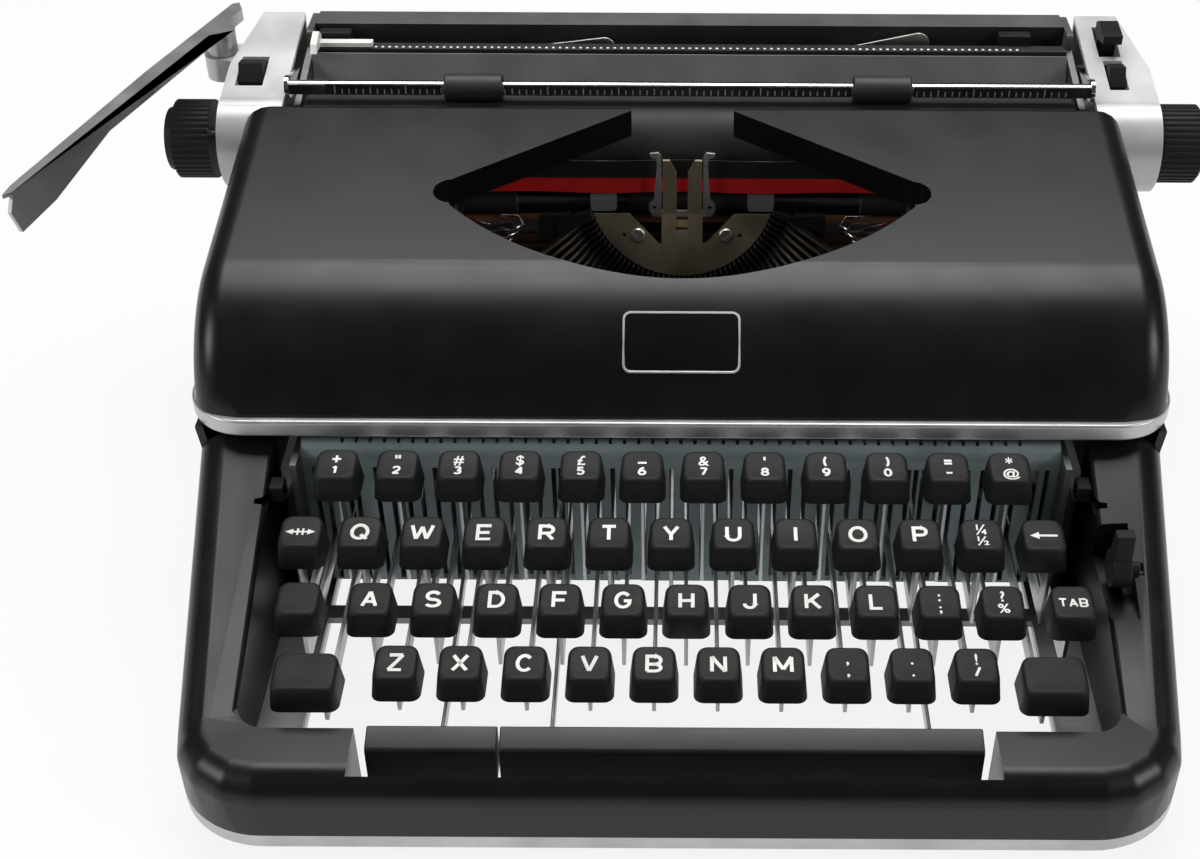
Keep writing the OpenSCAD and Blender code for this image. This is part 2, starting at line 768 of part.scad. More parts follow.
module ribbon_vibrator() color([0.45, 0.45, 0.43]) {
  front = guide_back + slide_gap;
  translate([0, front + ear_t, 0]) rotate([90, 0, 0]) linear_extrude(ear_t) {
    for (side = [0, 1]) mirror([side, 0, 0]) difference() {
      polygon([[ear_in, ear_low], [ear_out - 1.5, ear_low], [ear_out, ear_low + 2.5], [ear_out, ear_low + 5],
        [ear_out - 1.8, ear_low + 7], [ear_in + 1.6, guide_high - 3], [ear_in + 1.8, guide_high],
        [ear_out - 0.8, guide_high + 0.4], [ear_out - 0.4, guide_high + 2], [ear_in + 1, guide_high + 2.4],
        [ear_in, guide_high + 1]]);
      translate([ear_out - 2, ear_low + 3.6]) circle(0.8);
    }
    translate([-ear_in - 1, ear_low]) square([2 * ear_in + 2, 2.5]);
  }
}

module ribbon() color([0.6, 0.05, 0.06]) {
  end_x = spool_x - 14.5;
  end_y = spool_y + 9.5;
  bend_x = post_x + guide_post_r + 0.9;
  translate([0, 0, ribbon_low]) linear_extrude(ribbon_h) {
    translate([-post_x - 1, ribbon_y - ribbon_t / 2]) square([2 * post_x + 2, ribbon_t]);
    for (side = [-1, 1]) {
      polygon([[side * (post_x + 0.9), ribbon_y - ribbon_t / 2], [side * (post_x + 0.9), ribbon_y + ribbon_t / 2],
        [side * (bend_x + ribbon_t), ribbon_y - 1.6], [side * (end_x + ribbon_t), end_y],
        [side * end_x, end_y], [side * bend_x, ribbon_y - 1.8]]);
    }
  }
}

module ribbon_spool() {
  rotate_extrude() difference() {
    union() {
      square([pack_r, spool_h]);
      square([spool_d / 2, 1]);
      translate([0, spool_h - 1]) square([spool_d / 2, 1]);
    }
    translate([-1, -1]) square([spindle_r + run_gap + 1, spool_h + 2]);
  }
}

module ribbon_spool_left() color([0.2, 0.2, 0.2])
  translate([-spool_x, spool_y, spool_deck + slide_gap]) ribbon_spool();
module ribbon_spool_right() color([0.2, 0.2, 0.2])
  translate([spool_x, spool_y, spool_deck + slide_gap]) ribbon_spool();

module carriage_rails() color([0.4, 0.3, 0.2]) {
  for (y = [front_rail_y, rear_rail_y]) span_x(-rail_half, rail_half) difference() {
    translate([y, rail_low]) square([rail_w, rail_h]);
    translate([y + rail_w / 2, rail_top]) circle(1.2);
    translate([y - 0.1, rail_low + 2.5]) square([1.3, 2]);
  }
}

module mainspring_drum() color([0.55, 0.55, 0.5])
  translate([drum_x, drum_y, drum_z]) rotate([-90, 0, 0]) rotate_extrude() difference() {
    union() {
      square([drum_r - 2, drum_w]);
      square([drum_r, 1.5]);
      translate([0, drum_w - 1.5]) square([drum_r, 1.5]);
    }
    translate([-1, -1]) square([drum_pin_r + run_gap + 1, drum_w + 2]);
    translate([drum_pin_r + 4, -1]) square([drum_r - drum_pin_r - 9, drum_w - 1]);
  }

// Small controls beside the keys
module well_slider(side, y) color([0.1, 0.1, 0.1]) {
  base_x = well_half - slide_gap;
  mirror([side > 0 ? 0 : 1, 0, 0]) {
    translate([base_x - 4.5, y - 3, rim_top + 44]) cube([4.5, 6, 6]);
    translate([base_x - 0.1, y - 2, rim_top + 45.5]) cube([housing_wall + 1, 4, 2.6]);
  }
}

module ribbon_selector() well_slider(-1, ribbon_slider_y);
module touch_selector() well_slider(1, touch_slider_y);

module stroke_lever() color([0.1, 0.1, 0.1]) {
  span_x(well_half + 1.2, well_half + pocket_d - 2) translate([stroke_y, stroke_z]) {
    circle(6);
    polygon([[-3, 0], [3, 0], [2, 14], [-2, 14]]);
  }
  rod_x(well_half + 1.2, well_half + pocket_d + 1.5, stroke_y, stroke_z, 2);
}

// Ribbon cover
module cover_half_form(inset, drop) {
  back = cover_back + (inset > 0 ? 4 : 0);
  roof_end = roof_back + (inset > 0 ? 4 : 0) - cover_edge_r;
  translate([0, 0, -drop]) for (side = [0, 1]) mirror([side, 0, 0]) hull() {
    translate([0, 0, trim_top - (inset > 0 ? 2 : 0)]) linear_extrude(1) intersection() {
      rounded_plan(cover_half - inset, cover_front + inset, back + 40, cover_corner - inset, $fn = 48);
      translate([0, cover_front]) square([cover_half, back - cover_front]);
    }
    for (a = [0:18:90]) {
      rod_x(0, crown_half + side_round * sin(a) - inset, shoulder_y, shoulder_z,
        shoulder_r - side_round * (1 - cos(a)) - inset, $fn = 60);
      rod_x(0, crown_half + side_round * sin(a) - inset, roof_end,
        cover_back_z - cover_edge_r - side_round * (1 - cos(a)) - inset, cover_edge_r, $fn = 24);
    }
  }
}

module window_plan(grow) {
  reach = window_gap / 2;
  slope_x = 86;
  slope_y = 38;
  intersection() {
    translate([0, window_low + window_r]) circle(window_r + grow, $fn = 180);
    translate([-window_tip_x, window_low - 5]) square([2 * window_tip_x, 150]);
    polygon([[-slope_x, -20], [slope_x, -20], [slope_x, slope_y + grow * 1.2],
      [reach - grow * 0.2, window_point_y - 3 + grow], [reach - grow, window_point_y + 10],
      [-reach + grow, window_point_y + 10], [-reach + grow * 0.2, window_point_y - 3 + grow],
      [-slope_x, slope_y + grow * 1.2]]);
  }
  for (side = [-1, 1]) translate([side * window_tip_x, window_low + window_r
    - sqrt(window_r * window_r - window_tip_x * window_tip_x) + window_tip_r + 1])
      circle(window_tip_r + grow, $fn = 40);
}

module ribbon_cover() color([0.07, 0.07, 0.07]) {
  difference() {
    union() {
      difference() {
        cover_half_form(0, 0);
        cover_half_form(cover_wall, 0);
      }
      difference() {
        intersection() {
          cover_half_form(0, 0);
          linear_extrude(cover_back_z + 20) difference() {
            window_plan(2);
            window_plan(0);
          }
        }
        cover_half_form(0, window_rim);
      }
    }
    linear_extrude(cover_back_z + 20) window_plan(0);
    translate([-cover_half - 5, cover_front - 5, 0]) cube([2 * cover_half + 10, cover_back + 50, trim_top]);
    translate([-cover_half - 5, cover_back, 0]) cube([2 * cover_half + 10, 20, wall_cut_z]);
  }
}

module cover_trim() color("silver") {
  translate([0, 0, trim_low]) linear_extrude(trim_h) intersection() {
    difference() {
      rounded_plan(cover_half + trim_reach, cover_front - trim_reach, cover_back + 40, cover_corner + trim_reach);
      rounded_plan(cover_half + trim_reach - trim_wall, cover_front - trim_reach + trim_wall, cover_back + 60,
        cover_corner + trim_reach - trim_wall);
    }
    translate([-cover_half - 10, cover_front - 10]) square([2 * cover_half + 20, cover_back - 2 - cover_front + 10]);
  }
}

module cover_hinge_lugs() color([0.5, 0.5, 0.5]) {
  roof = cover_back_z - roof_drop - slide_gap;
  reach = 9;
  for (side = [0, 1]) mirror([side, 0, 0])
    span_x(frame_half - 0.5 - hinge_lug_t, frame_half - 0.5) difference() {
      union() {
        translate([hinge_y, hinge_z]) circle(hinge_lug_r);
        polygon([[hinge_y - reach, hinge_z - 2], [hinge_y, hinge_z - hinge_lug_r], [hinge_y + hinge_lug_r, hinge_z],
          [hinge_y + hinge_lug_r, roof + roof_slope * hinge_lug_r], [hinge_y - reach, roof - roof_slope * reach]]);
      }
      translate([hinge_y, hinge_z]) circle(hinge_pin_r + run_gap);
    }
}

// Carriage
module end_outline(inset) {
  translate([platen_y, platen_z]) circle(bulge_r - inset);
  polygon([[platen_y - 6, platen_z + bulge_r - 1 - inset], [end_back - inset, end_back_z - inset],
    [end_back - inset, end_low + inset], [platen_y, platen_z - bulge_r + inset]]);
}

module carriage_frame() color([0.3, 0.3, 0.3]) on_carriage() {
  for (side = [0, 1]) mirror([side, 0, 0]) {
    span_x(frame_in, frame_out) difference() {
      union() {
        end_outline(3);
        translate([front_rail_y, runner_low]) square([rear_rail_y + rail_w - front_rail_y, 22]);
      }
      translate([platen_y, platen_z]) circle(shaft_d / 2 + run_gap);
      for (s = [-1, 1])
        translate([platen_y + s * feed_reach * sin(feed_angle), platen_z - feed_reach * cos(feed_angle)])
        circle(feed_shaft_r + run_gap);
    }
    rod_x(frame_out, bail_arm_in + bail_arm_t + 0.3, bail_pivot_y, bail_pivot_z, bail_pin_r);
    rod_x(frame_out, -tab_left_x + 5, tab_pivot_y, tab_pivot_z, tab_pin_r);
  }
  rod_x(frame_out, release_x + 4.2, release_pivot_y, release_pivot_z, tab_pin_r);
  for (y = [front_rail_y, rear_rail_y])
    translate([-frame_in, y, runner_low]) cube([2 * frame_in, rail_w, runner_h]);
}

module end_cover() {
  difference() {
    intersection() {
      span_x(end_in, end_out) end_outline(0);
      linear_extrude(200) polygon([[end_in - 1, 70], [end_out, 70], [end_out, end_bend_y], [end_rear_out, end_back + 1],
        [end_in - 1, end_back + 1]]);
    }
    intersection() {
      span_x(end_in - 1, end_out - end_wall) end_outline(end_wall);
      linear_extrude(200) polygon([[end_in - 2, 70], [end_out - end_wall, 70], [end_out - end_wall, end_bend_y],
        [end_rear_out - end_wall, end_back], [end_in - 2, end_back]]);
    }
    rod_x(end_in, end_out + 1, platen_y, platen_z, shaft_d / 2 + part_gap);
  }
  rod_x(frame_out, end_out - end_wall / 2, platen_y + 12, end_low + 7, 3);
  rod_x(frame_out, end_rear_out, end_back - 6, end_low + 9, 3);
}

module tab_slot(x, y, w, d) {
  translate([x - w / 2, y - d / 2, platen_z + bulge_r - 6]) cube([w, d, 30]);
}

module end_cover_left() color([0.75, 0.76, 0.77]) on_carriage() {
  difference() {
    mirror([1, 0, 0]) end_cover();
    tab_slot(tab_left_x, tab_pivot_y, 10, 17);
  }
  lever_boss();
}

module end_cover_right() color([0.75, 0.76, 0.77]) on_carriage() {
  difference() {
    end_cover();
    tab_slot(tab_right_x, tab_pivot_y, 7, 17);
    tab_slot(release_x, release_pivot_y - 2, 8, 18);
  }
}

// Boss on the left end cover that carries the return lever
module lever_boss() {
  boss_h = 9;
  translate([0, 0, lever_pivot_z - boss_h]) {
    linear_extrude(boss_h) {
      translate([lever_pivot_x, lever_pivot_y]) circle(7);
      polygon([[lever_pivot_x, lever_pivot_y - 7], [-end_rear_out - 2.5, lever_pivot_y - 9],
        [-end_rear_out - 1, lever_pivot_y + 7], [lever_pivot_x, lever_pivot_y + 7]]);
    }
    translate([lever_pivot_x, lever_pivot_y, boss_h]) cylinder(h = lever_hub_h - 2, r = lever_pin_r);
  }
}

module paper_table() color([0.1, 0.1, 0.1]) on_carriage() {
  start = table_angle - 90;
  line_len = (table_top_z - platen_z - table_r * sin(start)) / sin(table_angle);
  span_x(-frame_in + 0.3, frame_in - 0.3) translate([platen_y, platen_z]) {
    intersection() {
      difference() {
        circle(table_r + table_t);
        circle(table_r);
      }
      polygon([[0, 0], [60 * cos(start), 60 * sin(start)], [60 * cos(-42), 60 * sin(-42)]]);
    }
    rotate(start) translate([table_r, -0.3]) square([table_t, line_len]);
  }
}

module carriage_rear_cover() color([0.12, 0.12, 0.12]) on_carriage() {
  span_x(-rear_half, rear_half)
    polygon([[end_back, end_low + 2], [end_back, rear_top], [rear_front, rear_top], [rear_front, trough_z],
      [margin_y + 1.5, trough_z], [margin_y + 1.5, trough_z - rear_wall], [rear_front + rear_wall, trough_z - rear_wall],
      [rear_front + rear_wall, rear_top - rear_wall], [end_back - rear_wall, rear_top - rear_wall],
      [end_back - rear_wall, end_low + 2]]);
  for (x = [support_left_x, support_right_x]) translate([x, support_y - 0.5, support_z]) rotate([-90, 0, 0])
    cylinder(h = rear_front - support_y + 0.5, r = support_pin_r);
}

module margin_rail() color([0.3, 0.3, 0.3]) on_carriage() {
  teeth = floor((2 * frame_in - 20) / tooth_pitch);
  difference() {
    span_x(-frame_in + 0.2, frame_in - 0.2) difference() {
      translate([margin_y, margin_low]) square([margin_d, margin_h]);
      translate([margin_y + margin_d - 1.5, margin_low + 1.2]) square([2, 1.6]);
    }
    for (i = [0:teeth - 1]) translate([(i - (teeth - 1) / 2) * tooth_pitch - tooth_pitch / 4, margin_y - 1,
      margin_low - 1]) cube([tooth_pitch / 2, 2, 2.2]);
  }
}

module margin_stop(x) on_carriage() color([0.1, 0.1, 0.1]) {
  translate([x - stop_w / 2, margin_y + margin_d + slide_gap, trough_z + 0.6])
    cube([stop_w, rear_front - margin_y - margin_d - 2 * slide_gap - 0.2, platen_z + 25.5 - trough_z]);
  translate([x - stop_w / 2, margin_y + margin_d - 1.2, margin_low + 1.5])
    cube([stop_w, 1.2 + 2 * slide_gap, 1]);
}

module margin_stop_left() margin_stop(-132.5);
module margin_stop_right() margin_stop(121.5);

module paper_guide() color("white") on_carriage() {
  guide_x = -138;
  low = margin_low + margin_h + slide_gap;
  translate([guide_x, margin_y + 0.4, low]) cube([20, margin_d - 1.6, 1.6]);
  span_x(guide_x - 1.8, guide_x + 0.6) polygon([[margin_y - 7, low + 0.6], [margin_y + margin_d, low],
    [margin_y + margin_d, low + 3], [margin_y + 2, low + 5.5], [margin_y - 5, low + 3.5]]);
}

module paper_support(x, angle) on_carriage() color([0.3, 0.3, 0.3]) {
  translate([x, support_y + support_t, support_z]) rotate([90, 0, 0]) rotate(angle)
    linear_extrude(support_t) difference() {
      union() {
        circle(2.5);
        translate([support_len, 0]) circle(4.2);
        polygon([[0, -2.5], [support_len, -4.2], [support_len, 4.2], [0, 2.5]]);
      }
      circle(support_pin_r + run_gap);
    }
}

module paper_support_left() paper_support(support_left_x, 4);
module paper_support_right() paper_support(support_right_x, 9);

module feed_roller(s) on_carriage() color([0.15, 0.15, 0.15]) {
  y = platen_y + s * feed_reach * sin(feed_angle);
  z = platen_z - feed_reach * cos(feed_angle);
  rod_x(-frame_out, frame_out, y, z, feed_shaft_r);
  for (x = [-85, 0, 85]) rod_x(x - 22, x + 22, y, z, feed_r);
}

module feed_roller_front() feed_roller(-1);
module feed_roller_rear() feed_roller(1);

module platen() color([0.12, 0.12, 0.12]) on_carriage() difference() {
  rod_x(-platen_len / 2, platen_len / 2, platen_y, platen_z, platen_r);
  rod_x(-platen_len, platen_len, platen_y, platen_z, shaft_d / 2 + run_gap / 2);
}

module platen_shaft() color([0.7, 0.7, 0.72]) on_carriage()
  rod_x(-shaft_left, shaft_right, platen_y, platen_z, shaft_d / 2);

module knob_grip(len) {
  difference() {
    linear_extrude(len) difference() {
      circle(d = knob_d);
      for (a = [0:9:351]) rotate(a) translate([knob_d / 2 + 0.25, 0]) circle(0.75);
    }
    translate([0, 0, -1]) cylinder(h = 8, d = shaft_d + run_gap);
  }
}

module platen_knob_left() color([0.1, 0.1, 0.1]) on_carriage()
  translate([-end_out - 4, platen_y, platen_z]) rotate([0, -90, 0]) {
    knob_grip(knob_len - 1.5);
    translate([0, 0, knob_len - 1.6]) cylinder(h = 3, d1 = knob_d - 4, d2 = knob_d - 6);
  }

module platen_knob_right() color([0.1, 0.1, 0.1]) on_carriage()
  translate([end_out + 1.5, platen_y, platen_z]) rotate([0, 90, 0]) {
    knob_grip(knob_len - 1);
    translate([0, 0, knob_len - 1.1]) cylinder(h = 1.1, d1 = knob_d - 0.6, d2 = knob_d - 2.6);
  }

module paper_bail() color([0.75, 0.75, 0.77]) on_carriage() {
  rod_x(-bail_arm_in, bail_arm_in, platen_y, bail_z, bail_r);
  for (side = [0, 1]) mirror([side, 0, 0]) span_x(bail_arm_in, bail_arm_in + bail_arm_t) difference() {
    union() {
      translate([bail_pivot_y, bail_pivot_z]) circle(4);
      translate([platen_y, bail_z]) circle(4);
      polygon([[platen_y - 1, bail_z + 3.8], [platen_y - 1, bail_z - 3.8], [bail_pivot_y - 1, bail_pivot_z - 3.8],
        [bail_pivot_y + 1, bail_pivot_z + 3.8]]);
    }
    translate([bail_pivot_y, bail_pivot_z]) circle(bail_pin_r + run_gap);
  }
  for (i = [0:2:4]) translate([strip_ends[i], strip_y, strip_low])
    cube([strip_ends[i + 1] - strip_ends[i], strip_t, strip_h]);
}

module bail_rollers() color([0.1, 0.1, 0.1]) on_carriage() {
  for (x = bail_roller_x) difference() {
    rod_x(x - bail_roller_len / 2, x + bail_roller_len / 2, platen_y, bail_z, bail_roller_d / 2);
    rod_x(x - bail_roller_len, x + bail_roller_len, platen_y, bail_z, bail_r + run_gap);
  }
}

module return_lever() color([0.6, 0.61, 0.62]) on_carriage() {
  translate([lever_pivot_x, lever_pivot_y, lever_pivot_z + slide_gap]) difference() {
    union() {
      cylinder(h = lever_hub_h, r = 5.5);
      rotate([0, 0, lever_azimuth]) translate([0, 0, lever_hub_h - 1.5]) {
        linear_extrude(1.5) translate([0, -lever_offset])
          polygon([[-24, -1], [-22, -3], [return_len * 0.3, -3], [return_len - 6, 0], [return_len, 1.2],
            [return_len - 3, 3], [-19, 3]]);
        translate([0, 3 - lever_offset, 0]) rotate([90, 0, 0]) linear_extrude(1.4)
          polygon([[-19, 0.5], [return_len - 3, 0.5], [return_len, -5], [return_len - 3, -13.5],
            [return_len - 22, -12], [return_len - 56, -4], [-19, -3]]);
      }
    }
    translate([0, 0, -1]) cylinder(h = lever_hub_h - 1, r = lever_pin_r + run_gap);
  }
}

// Tabs on the end covers
module release_tab(x, w, high) {
  span_x(x - w / 2, x + w / 2) difference() {
    union() {
      translate([tab_pivot_y, tab_pivot_z]) circle(4);
      polygon([[tab_pivot_y - 2.5, tab_pivot_z], [tab_pivot_y + 2.5, tab_pivot_z], [tab_pivot_y + 4, tab_pivot_z + high],
        [tab_pivot_y - 1, tab_pivot_z + high + 1], [tab_pivot_y - 5, tab_pivot_z + high - 5]]);
    }
    translate([tab_pivot_y, tab_pivot_z]) circle(tab_pin_r + run_gap);
  }
}

module carriage_release_tabs() color([0.1, 0.1, 0.1]) on_carriage() {
  release_tab(tab_left_x, 9, 19);
  release_tab(tab_right_x, 6, 19);
}

module paper_release_lever() color([0.1, 0.1, 0.1]) on_carriage()
  span_x(release_x - 3.5, release_x + 3.5) difference() {
    union() {
      translate([release_pivot_y, release_pivot_z]) circle(4);
      polygon([[release_pivot_y - 3, release_pivot_z], [release_pivot_y + 3, release_pivot_z],
        [release_pivot_y + 3, release_pivot_z + 18], [release_pivot_y - 1, release_pivot_z + 20],
        [release_pivot_y - 12, release_pivot_z + 19], [release_pivot_y - 12, release_pivot_z + 15.5],
        [release_pivot_y - 3, release_pivot_z + 13.5]]);
    }
    translate([release_pivot_y, release_pivot_z]) circle(tab_pin_r + run_gap);
  }

base_rim();
rubber_feet();
lower_housing();
chassis_frame();
key_comb();
key_levers_row_1();
key_levers_row_2();
key_levers_row_3();
key_levers_row_4();
key_caps_row_1();
key_caps_row_2();
key_caps_row_3();
key_caps_row_4();
key_h();
type_bar_h();
space_bar();
repeat_bar();
shift_key_left();
shift_key_right();
shift_lock_key();
margin_release_key();
backspace_key();
tab_key();
type_segment();
type_bars();
type_guide();
ribbon_vibrator();
ribbon();
ribbon_spool_left();
ribbon_spool_right();
carriage_rails();
mainspring_drum();
ribbon_selector();
touch_selector();
stroke_lever();
ribbon_cover();
cover_trim();
cover_hinge_lugs();
carriage_frame();
end_cover_left();
end_cover_right();
paper_table();
carriage_rear_cover();
margin_rail();
margin_stop_left();
margin_stop_right();
paper_guide();
paper_support_left();
paper_support_right();
feed_roller_front();
feed_roller_rear();
platen();
platen_shaft();
platen_knob_left();
platen_knob_right();
paper_bail();
bail_rollers();
return_lever();
paper_release_lever();
carriage_release_tabs();
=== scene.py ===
"""Looks of a portable manual typewriter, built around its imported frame. Metres, in the frame's axes."""
import json
import math

import bmesh
import bpy
from bpy.props import FloatProperty, FloatVectorProperty, PointerProperty
from bpy.types import Operator, Panel, PropertyGroup
from mathutils import Matrix, Vector


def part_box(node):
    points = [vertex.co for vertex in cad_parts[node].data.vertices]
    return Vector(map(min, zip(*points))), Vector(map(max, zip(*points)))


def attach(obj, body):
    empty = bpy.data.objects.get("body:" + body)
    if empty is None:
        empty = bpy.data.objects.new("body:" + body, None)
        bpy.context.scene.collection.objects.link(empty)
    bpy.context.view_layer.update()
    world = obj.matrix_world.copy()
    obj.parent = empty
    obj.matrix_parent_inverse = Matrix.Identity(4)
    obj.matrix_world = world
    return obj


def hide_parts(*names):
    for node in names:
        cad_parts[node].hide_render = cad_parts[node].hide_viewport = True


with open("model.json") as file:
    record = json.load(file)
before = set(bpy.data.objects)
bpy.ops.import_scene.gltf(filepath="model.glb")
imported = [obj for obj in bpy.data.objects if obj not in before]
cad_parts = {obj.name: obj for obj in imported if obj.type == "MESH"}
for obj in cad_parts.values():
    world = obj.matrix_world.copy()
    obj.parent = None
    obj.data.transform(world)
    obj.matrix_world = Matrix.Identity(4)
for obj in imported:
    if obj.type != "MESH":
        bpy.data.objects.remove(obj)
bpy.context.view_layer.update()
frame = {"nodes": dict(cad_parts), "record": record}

bl_info = {
    "name": "Manual typewriter",
    "version": (1, 0, 0),
    "blender": (4, 5, 0),
    "location": "View3D > Sidebar > Typewriter",
    "description": "Dresses the typewriter's frame with finishes, legends and fittings, and sets its stage",
    "category": "Object",
}

MM = 0.001
BODY_OF = {node: body for body, nodes in frame["record"]["behaviour"]["bodies"].items() for node in nodes}

# Keyboard, as in the part's source
KEY_PITCH = 19 * MM
ROW_STEP = 19 * MM
FRONT_ROW_Y = -106 * MM
ROW_TOPS = [72.5 * MM, 61.5 * MM, 51.5 * MM, 44 * MM]
ROW_FIRST = [-5.63, -5.15, -4.90, -4.40]
UPPER_ROW = 1
HOME_ROW = 2
LOWER_ROW = 3
KEY_H = 10 * MM
KEY_W = 14.6 * MM
KEY_TAPER = 0.85 * MM
CAP_CORNER = 3 * MM
CAP_EDGE = 1.3 * MM
CAP_EDGE_STEPS = 4
SKIRT_EASE = 0.3 * MM
SEAT_CUT = 0.02 * MM
SHIFT_W = 20.5 * MM
SHIFT_D = 15.5 * MM
DISH_R = 30 * MM
DISH_DEPTH = 0.9 * MM
DISH_RINGS = (0.75, 0.5, 0.25)
KEY_TILT = math.radians(7)
SINGLE_ROW = HOME_ROW
SINGLE_KEY = 5
BAR_LOW = 20 * MM
BAR_BACK = -121.9 * MM
LEVERS_BELOW = BAR_LOW - 0.1 * MM
LEVERS_BEHIND = BAR_BACK + 0.5 * MM
ROW_LEGENDS = [
    ["+1", "\"2", "#3", "$4", "£5", "_6", "&7", "'8", "(9", ")0", "=-", "*@"],
    ["Q", "W", "E", "R", "T", "Y", "U", "I", "O", "P", "¼½"],
    ["A", "S", "D", "F", "G", "H", "J", "K", "L", ":;", "?%"],
    ["Z", "X", "C", "V", "B", "N", "M", ",,", "..", "!/"],
]
MARGIN_KEY_X = -116 * MM
BACKSPACE_X = 110.9 * MM
TAB_X = 118 * MM
LOCK_X = -114.8 * MM
SHIFT_X = 109.8 * MM
SHIFT_FORWARD = 4 * MM

# Legends: half of the gap between two marks, the tabulator's word, built-in lettering and corners
PAIR_GAP = 0.4 * MM
TAB_HEIGHT = 3.4 * MM
TAB_STROKE = 0.6 * MM
LETTER_GAP = 0.7
CAPITAL_SHARE = 0.73
MARK_BOLD = 0.08 * MM
DISH_CUT = 0.9 * MM
SHARPEST_CORNER = 0.55
TURNS_BACK = -0.3

# Bottom pan behind the key comb, a dark sheet that stands in as painted shade for the inside of the machine,
# and a rib's section in millimetres
PAN_HALF = 115.8 * MM
PAN_FRONT = -33 * MM
PAN_BACK = 111.6 * MM
PAN_LIFT = 0.4 * MM
PAN_T = 0.8 * MM
PAN_RIBS = 6
RIB_SECTION = ((-4, 0), (-2.5, 0.8), (2.5, 0.8), (4, 0))

# Type basket: middle of the arc and its tilt
PLATEN_Y = 100 * MM
PLATEN_Z = 104 * MM
ARC = Vector((0, PLATEN_Y - 18.2 * MM, PLATEN_Z - 7 * MM))
ARC_TILT = math.radians(70)
GUIDE_T = 1.2 * MM
GUIDE_SCREW_X = 16 * MM
GUIDE_SCREW_Y = -19 * MM
GUIDE_SCREW_R = 2.6 * MM
SCREW_HEAD = 1.0 * MM
SCREW_FOOT = -0.6 * MM
SCREW_TURN = 0.6
SHANK_SHARE = 0.55
HEAD_SIDE_SHARE = 0.6
HEAD_TOP_SHARE = 0.82
SLOT_WIDTH_SHARE = 0.32
SLOT_DEPTH_SHARE = 0.45
SLOT_LENGTH = 20 * MM

# Ribbon, its guide posts and spools
RIBBON_Y = PLATEN_Y - 17.9 * MM
RIBBON_LOW = PLATEN_Z - 11.2 * MM
RIBBON_H = 13 * MM
RIBBON_T = 0.3 * MM
RIBBON_RED_SHARE = 0.45
RIBBON_WAVE = 0.35 * MM
RIBBON_WAVES = 9
POST_X = 83 * MM
POST_BEND = 1.6 * MM
POST_TURNS = (0.5, 1.0, 1.4)
SPAN_STEPS = 24
RUN_STEPS = 10
SPOOL_X = 110 * MM
SPOOL_Y = 48 * MM
PACK_R = 16 * MM
PACK_CORE = PACK_R * 0.6
PACK_TOUCH = Vector((SPOOL_X - PACK_R * 0.92, SPOOL_Y + PACK_R * 0.62))
FLANGE_T = 0.9 * MM

# Card holders, and the ribbon's feelers with the places of their bends in millimetres
CARD_X = 28.6 * MM
CARD_W = 9.6 * MM
CARD_LOW = PLATEN_Z - 19.5 * MM
CARD_TOP = PLATEN_Z + 1 * MM
CARD_Y = PLATEN_Y - 17.2 * MM
CARD_T = 0.5 * MM
CARD_CORNER = 1.5 * MM
FEELER_R = 0.55 * MM
FEELER_LIFTS = (-3 * MM, 0, 3.4 * MM)
FEELER_OUT = 0.6
FEELER_DOWN = 0.4
FEELER_BENDS = [
    (78, 66, 88), (74, 62, 89), (68, 59, 89), (62, 58, 88), (58, 60, 89.5), (60, 63, 91), (66, 63, 91),
]

# Front shoulder of the ribbon cover
SHOULDER_Y = 13.6 * MM
SHOULDER_Z = 67 * MM
SHOULDER_R = 47.5 * MM
BADGE_ANGLE = math.radians(42.7)

# Badge plate: section of its border as inset and lift in millimetres, and its field
BADGE_CORNER = 2.6 * MM
BADGE_SECTION = ((0, -0.6), (0, 0.35), (0.12, 0.55), (0.6, 0.55), (0.75, 0.4), (0.75, -0.6))
BADGE_FOOT = -0.6 * MM
FIELD_INSET = 0.77 * MM
FIELD_LIFT = 0.25 * MM
FIELD_ROWS = 10
FIELD_REACH = 1.4
CORNER_SHARE = 0.8
BEND_TOLERANCE = 0.001 * MM

# Carriage
CARRIAGE_X = 2.5 * MM
BAIL_Z = PLATEN_Z + 21.15 * MM
STRIP_Y = PLATEN_Y - 2.9 * MM
STRIP_LOW = BAIL_Z - 1.7 * MM
STRIP_FACE = STRIP_Y + 0.52 * MM
ROLLER_X = (-77.5 * MM, 69 * MM)
ROLLER_HALF = 11.1 * MM
ROLLER_LAP = 1 * MM
BAIL_ARM_IN = 143.5 * MM
BARE_STRIP_END = CARRIAGE_X - BAIL_ARM_IN + 13 * MM
RUNNER_HALF = 140 * MM
RUNNER_TOP = 80 * MM
FEED_SHAFT_R = 2.3 * MM
REAR_BACK = 150 * MM
FACE_MARGIN = 0.5 * MM
REAR_END_FRONT = 133 * MM
REAR_END_LOW = 112 * MM
REAR_END_IN = 140.4 * MM
REAR_END_OUT = 142.8 * MM
REAR_END_CORNER = 1.2 * MM
REAR_END_INSET = 0.3 * MM
MARGIN_Y = 128.5 * MM
MARGIN_TOP = PLATEN_Z + 22.5 * MM
SCALE_PITCH = 2.54 * MM
BAIL_MARKS = range(-50, 54)
MARK_HALF = 0.22 * MM
MARK_FRONT = STRIP_Y - 0.06 * MM
MARK_BACK = STRIP_Y + 0.2 * MM
MARK_FOOT = STRIP_LOW + 0.5 * MM
TENTH_MARK = 2.9 * MM
FIFTH_MARK = 2.4 * MM
PLAIN_MARK = 1.8 * MM
MARGIN_DOTS = range(-48, 49)
DOT_HALF = 0.45 * MM
DOT_FRONT = MARGIN_Y + 0.9 * MM
DOT_BACK = MARGIN_Y + 1.9 * MM
DOT_FOOT = MARGIN_TOP - 0.2 * MM
DOT_TOP = MARGIN_TOP + 0.05 * MM

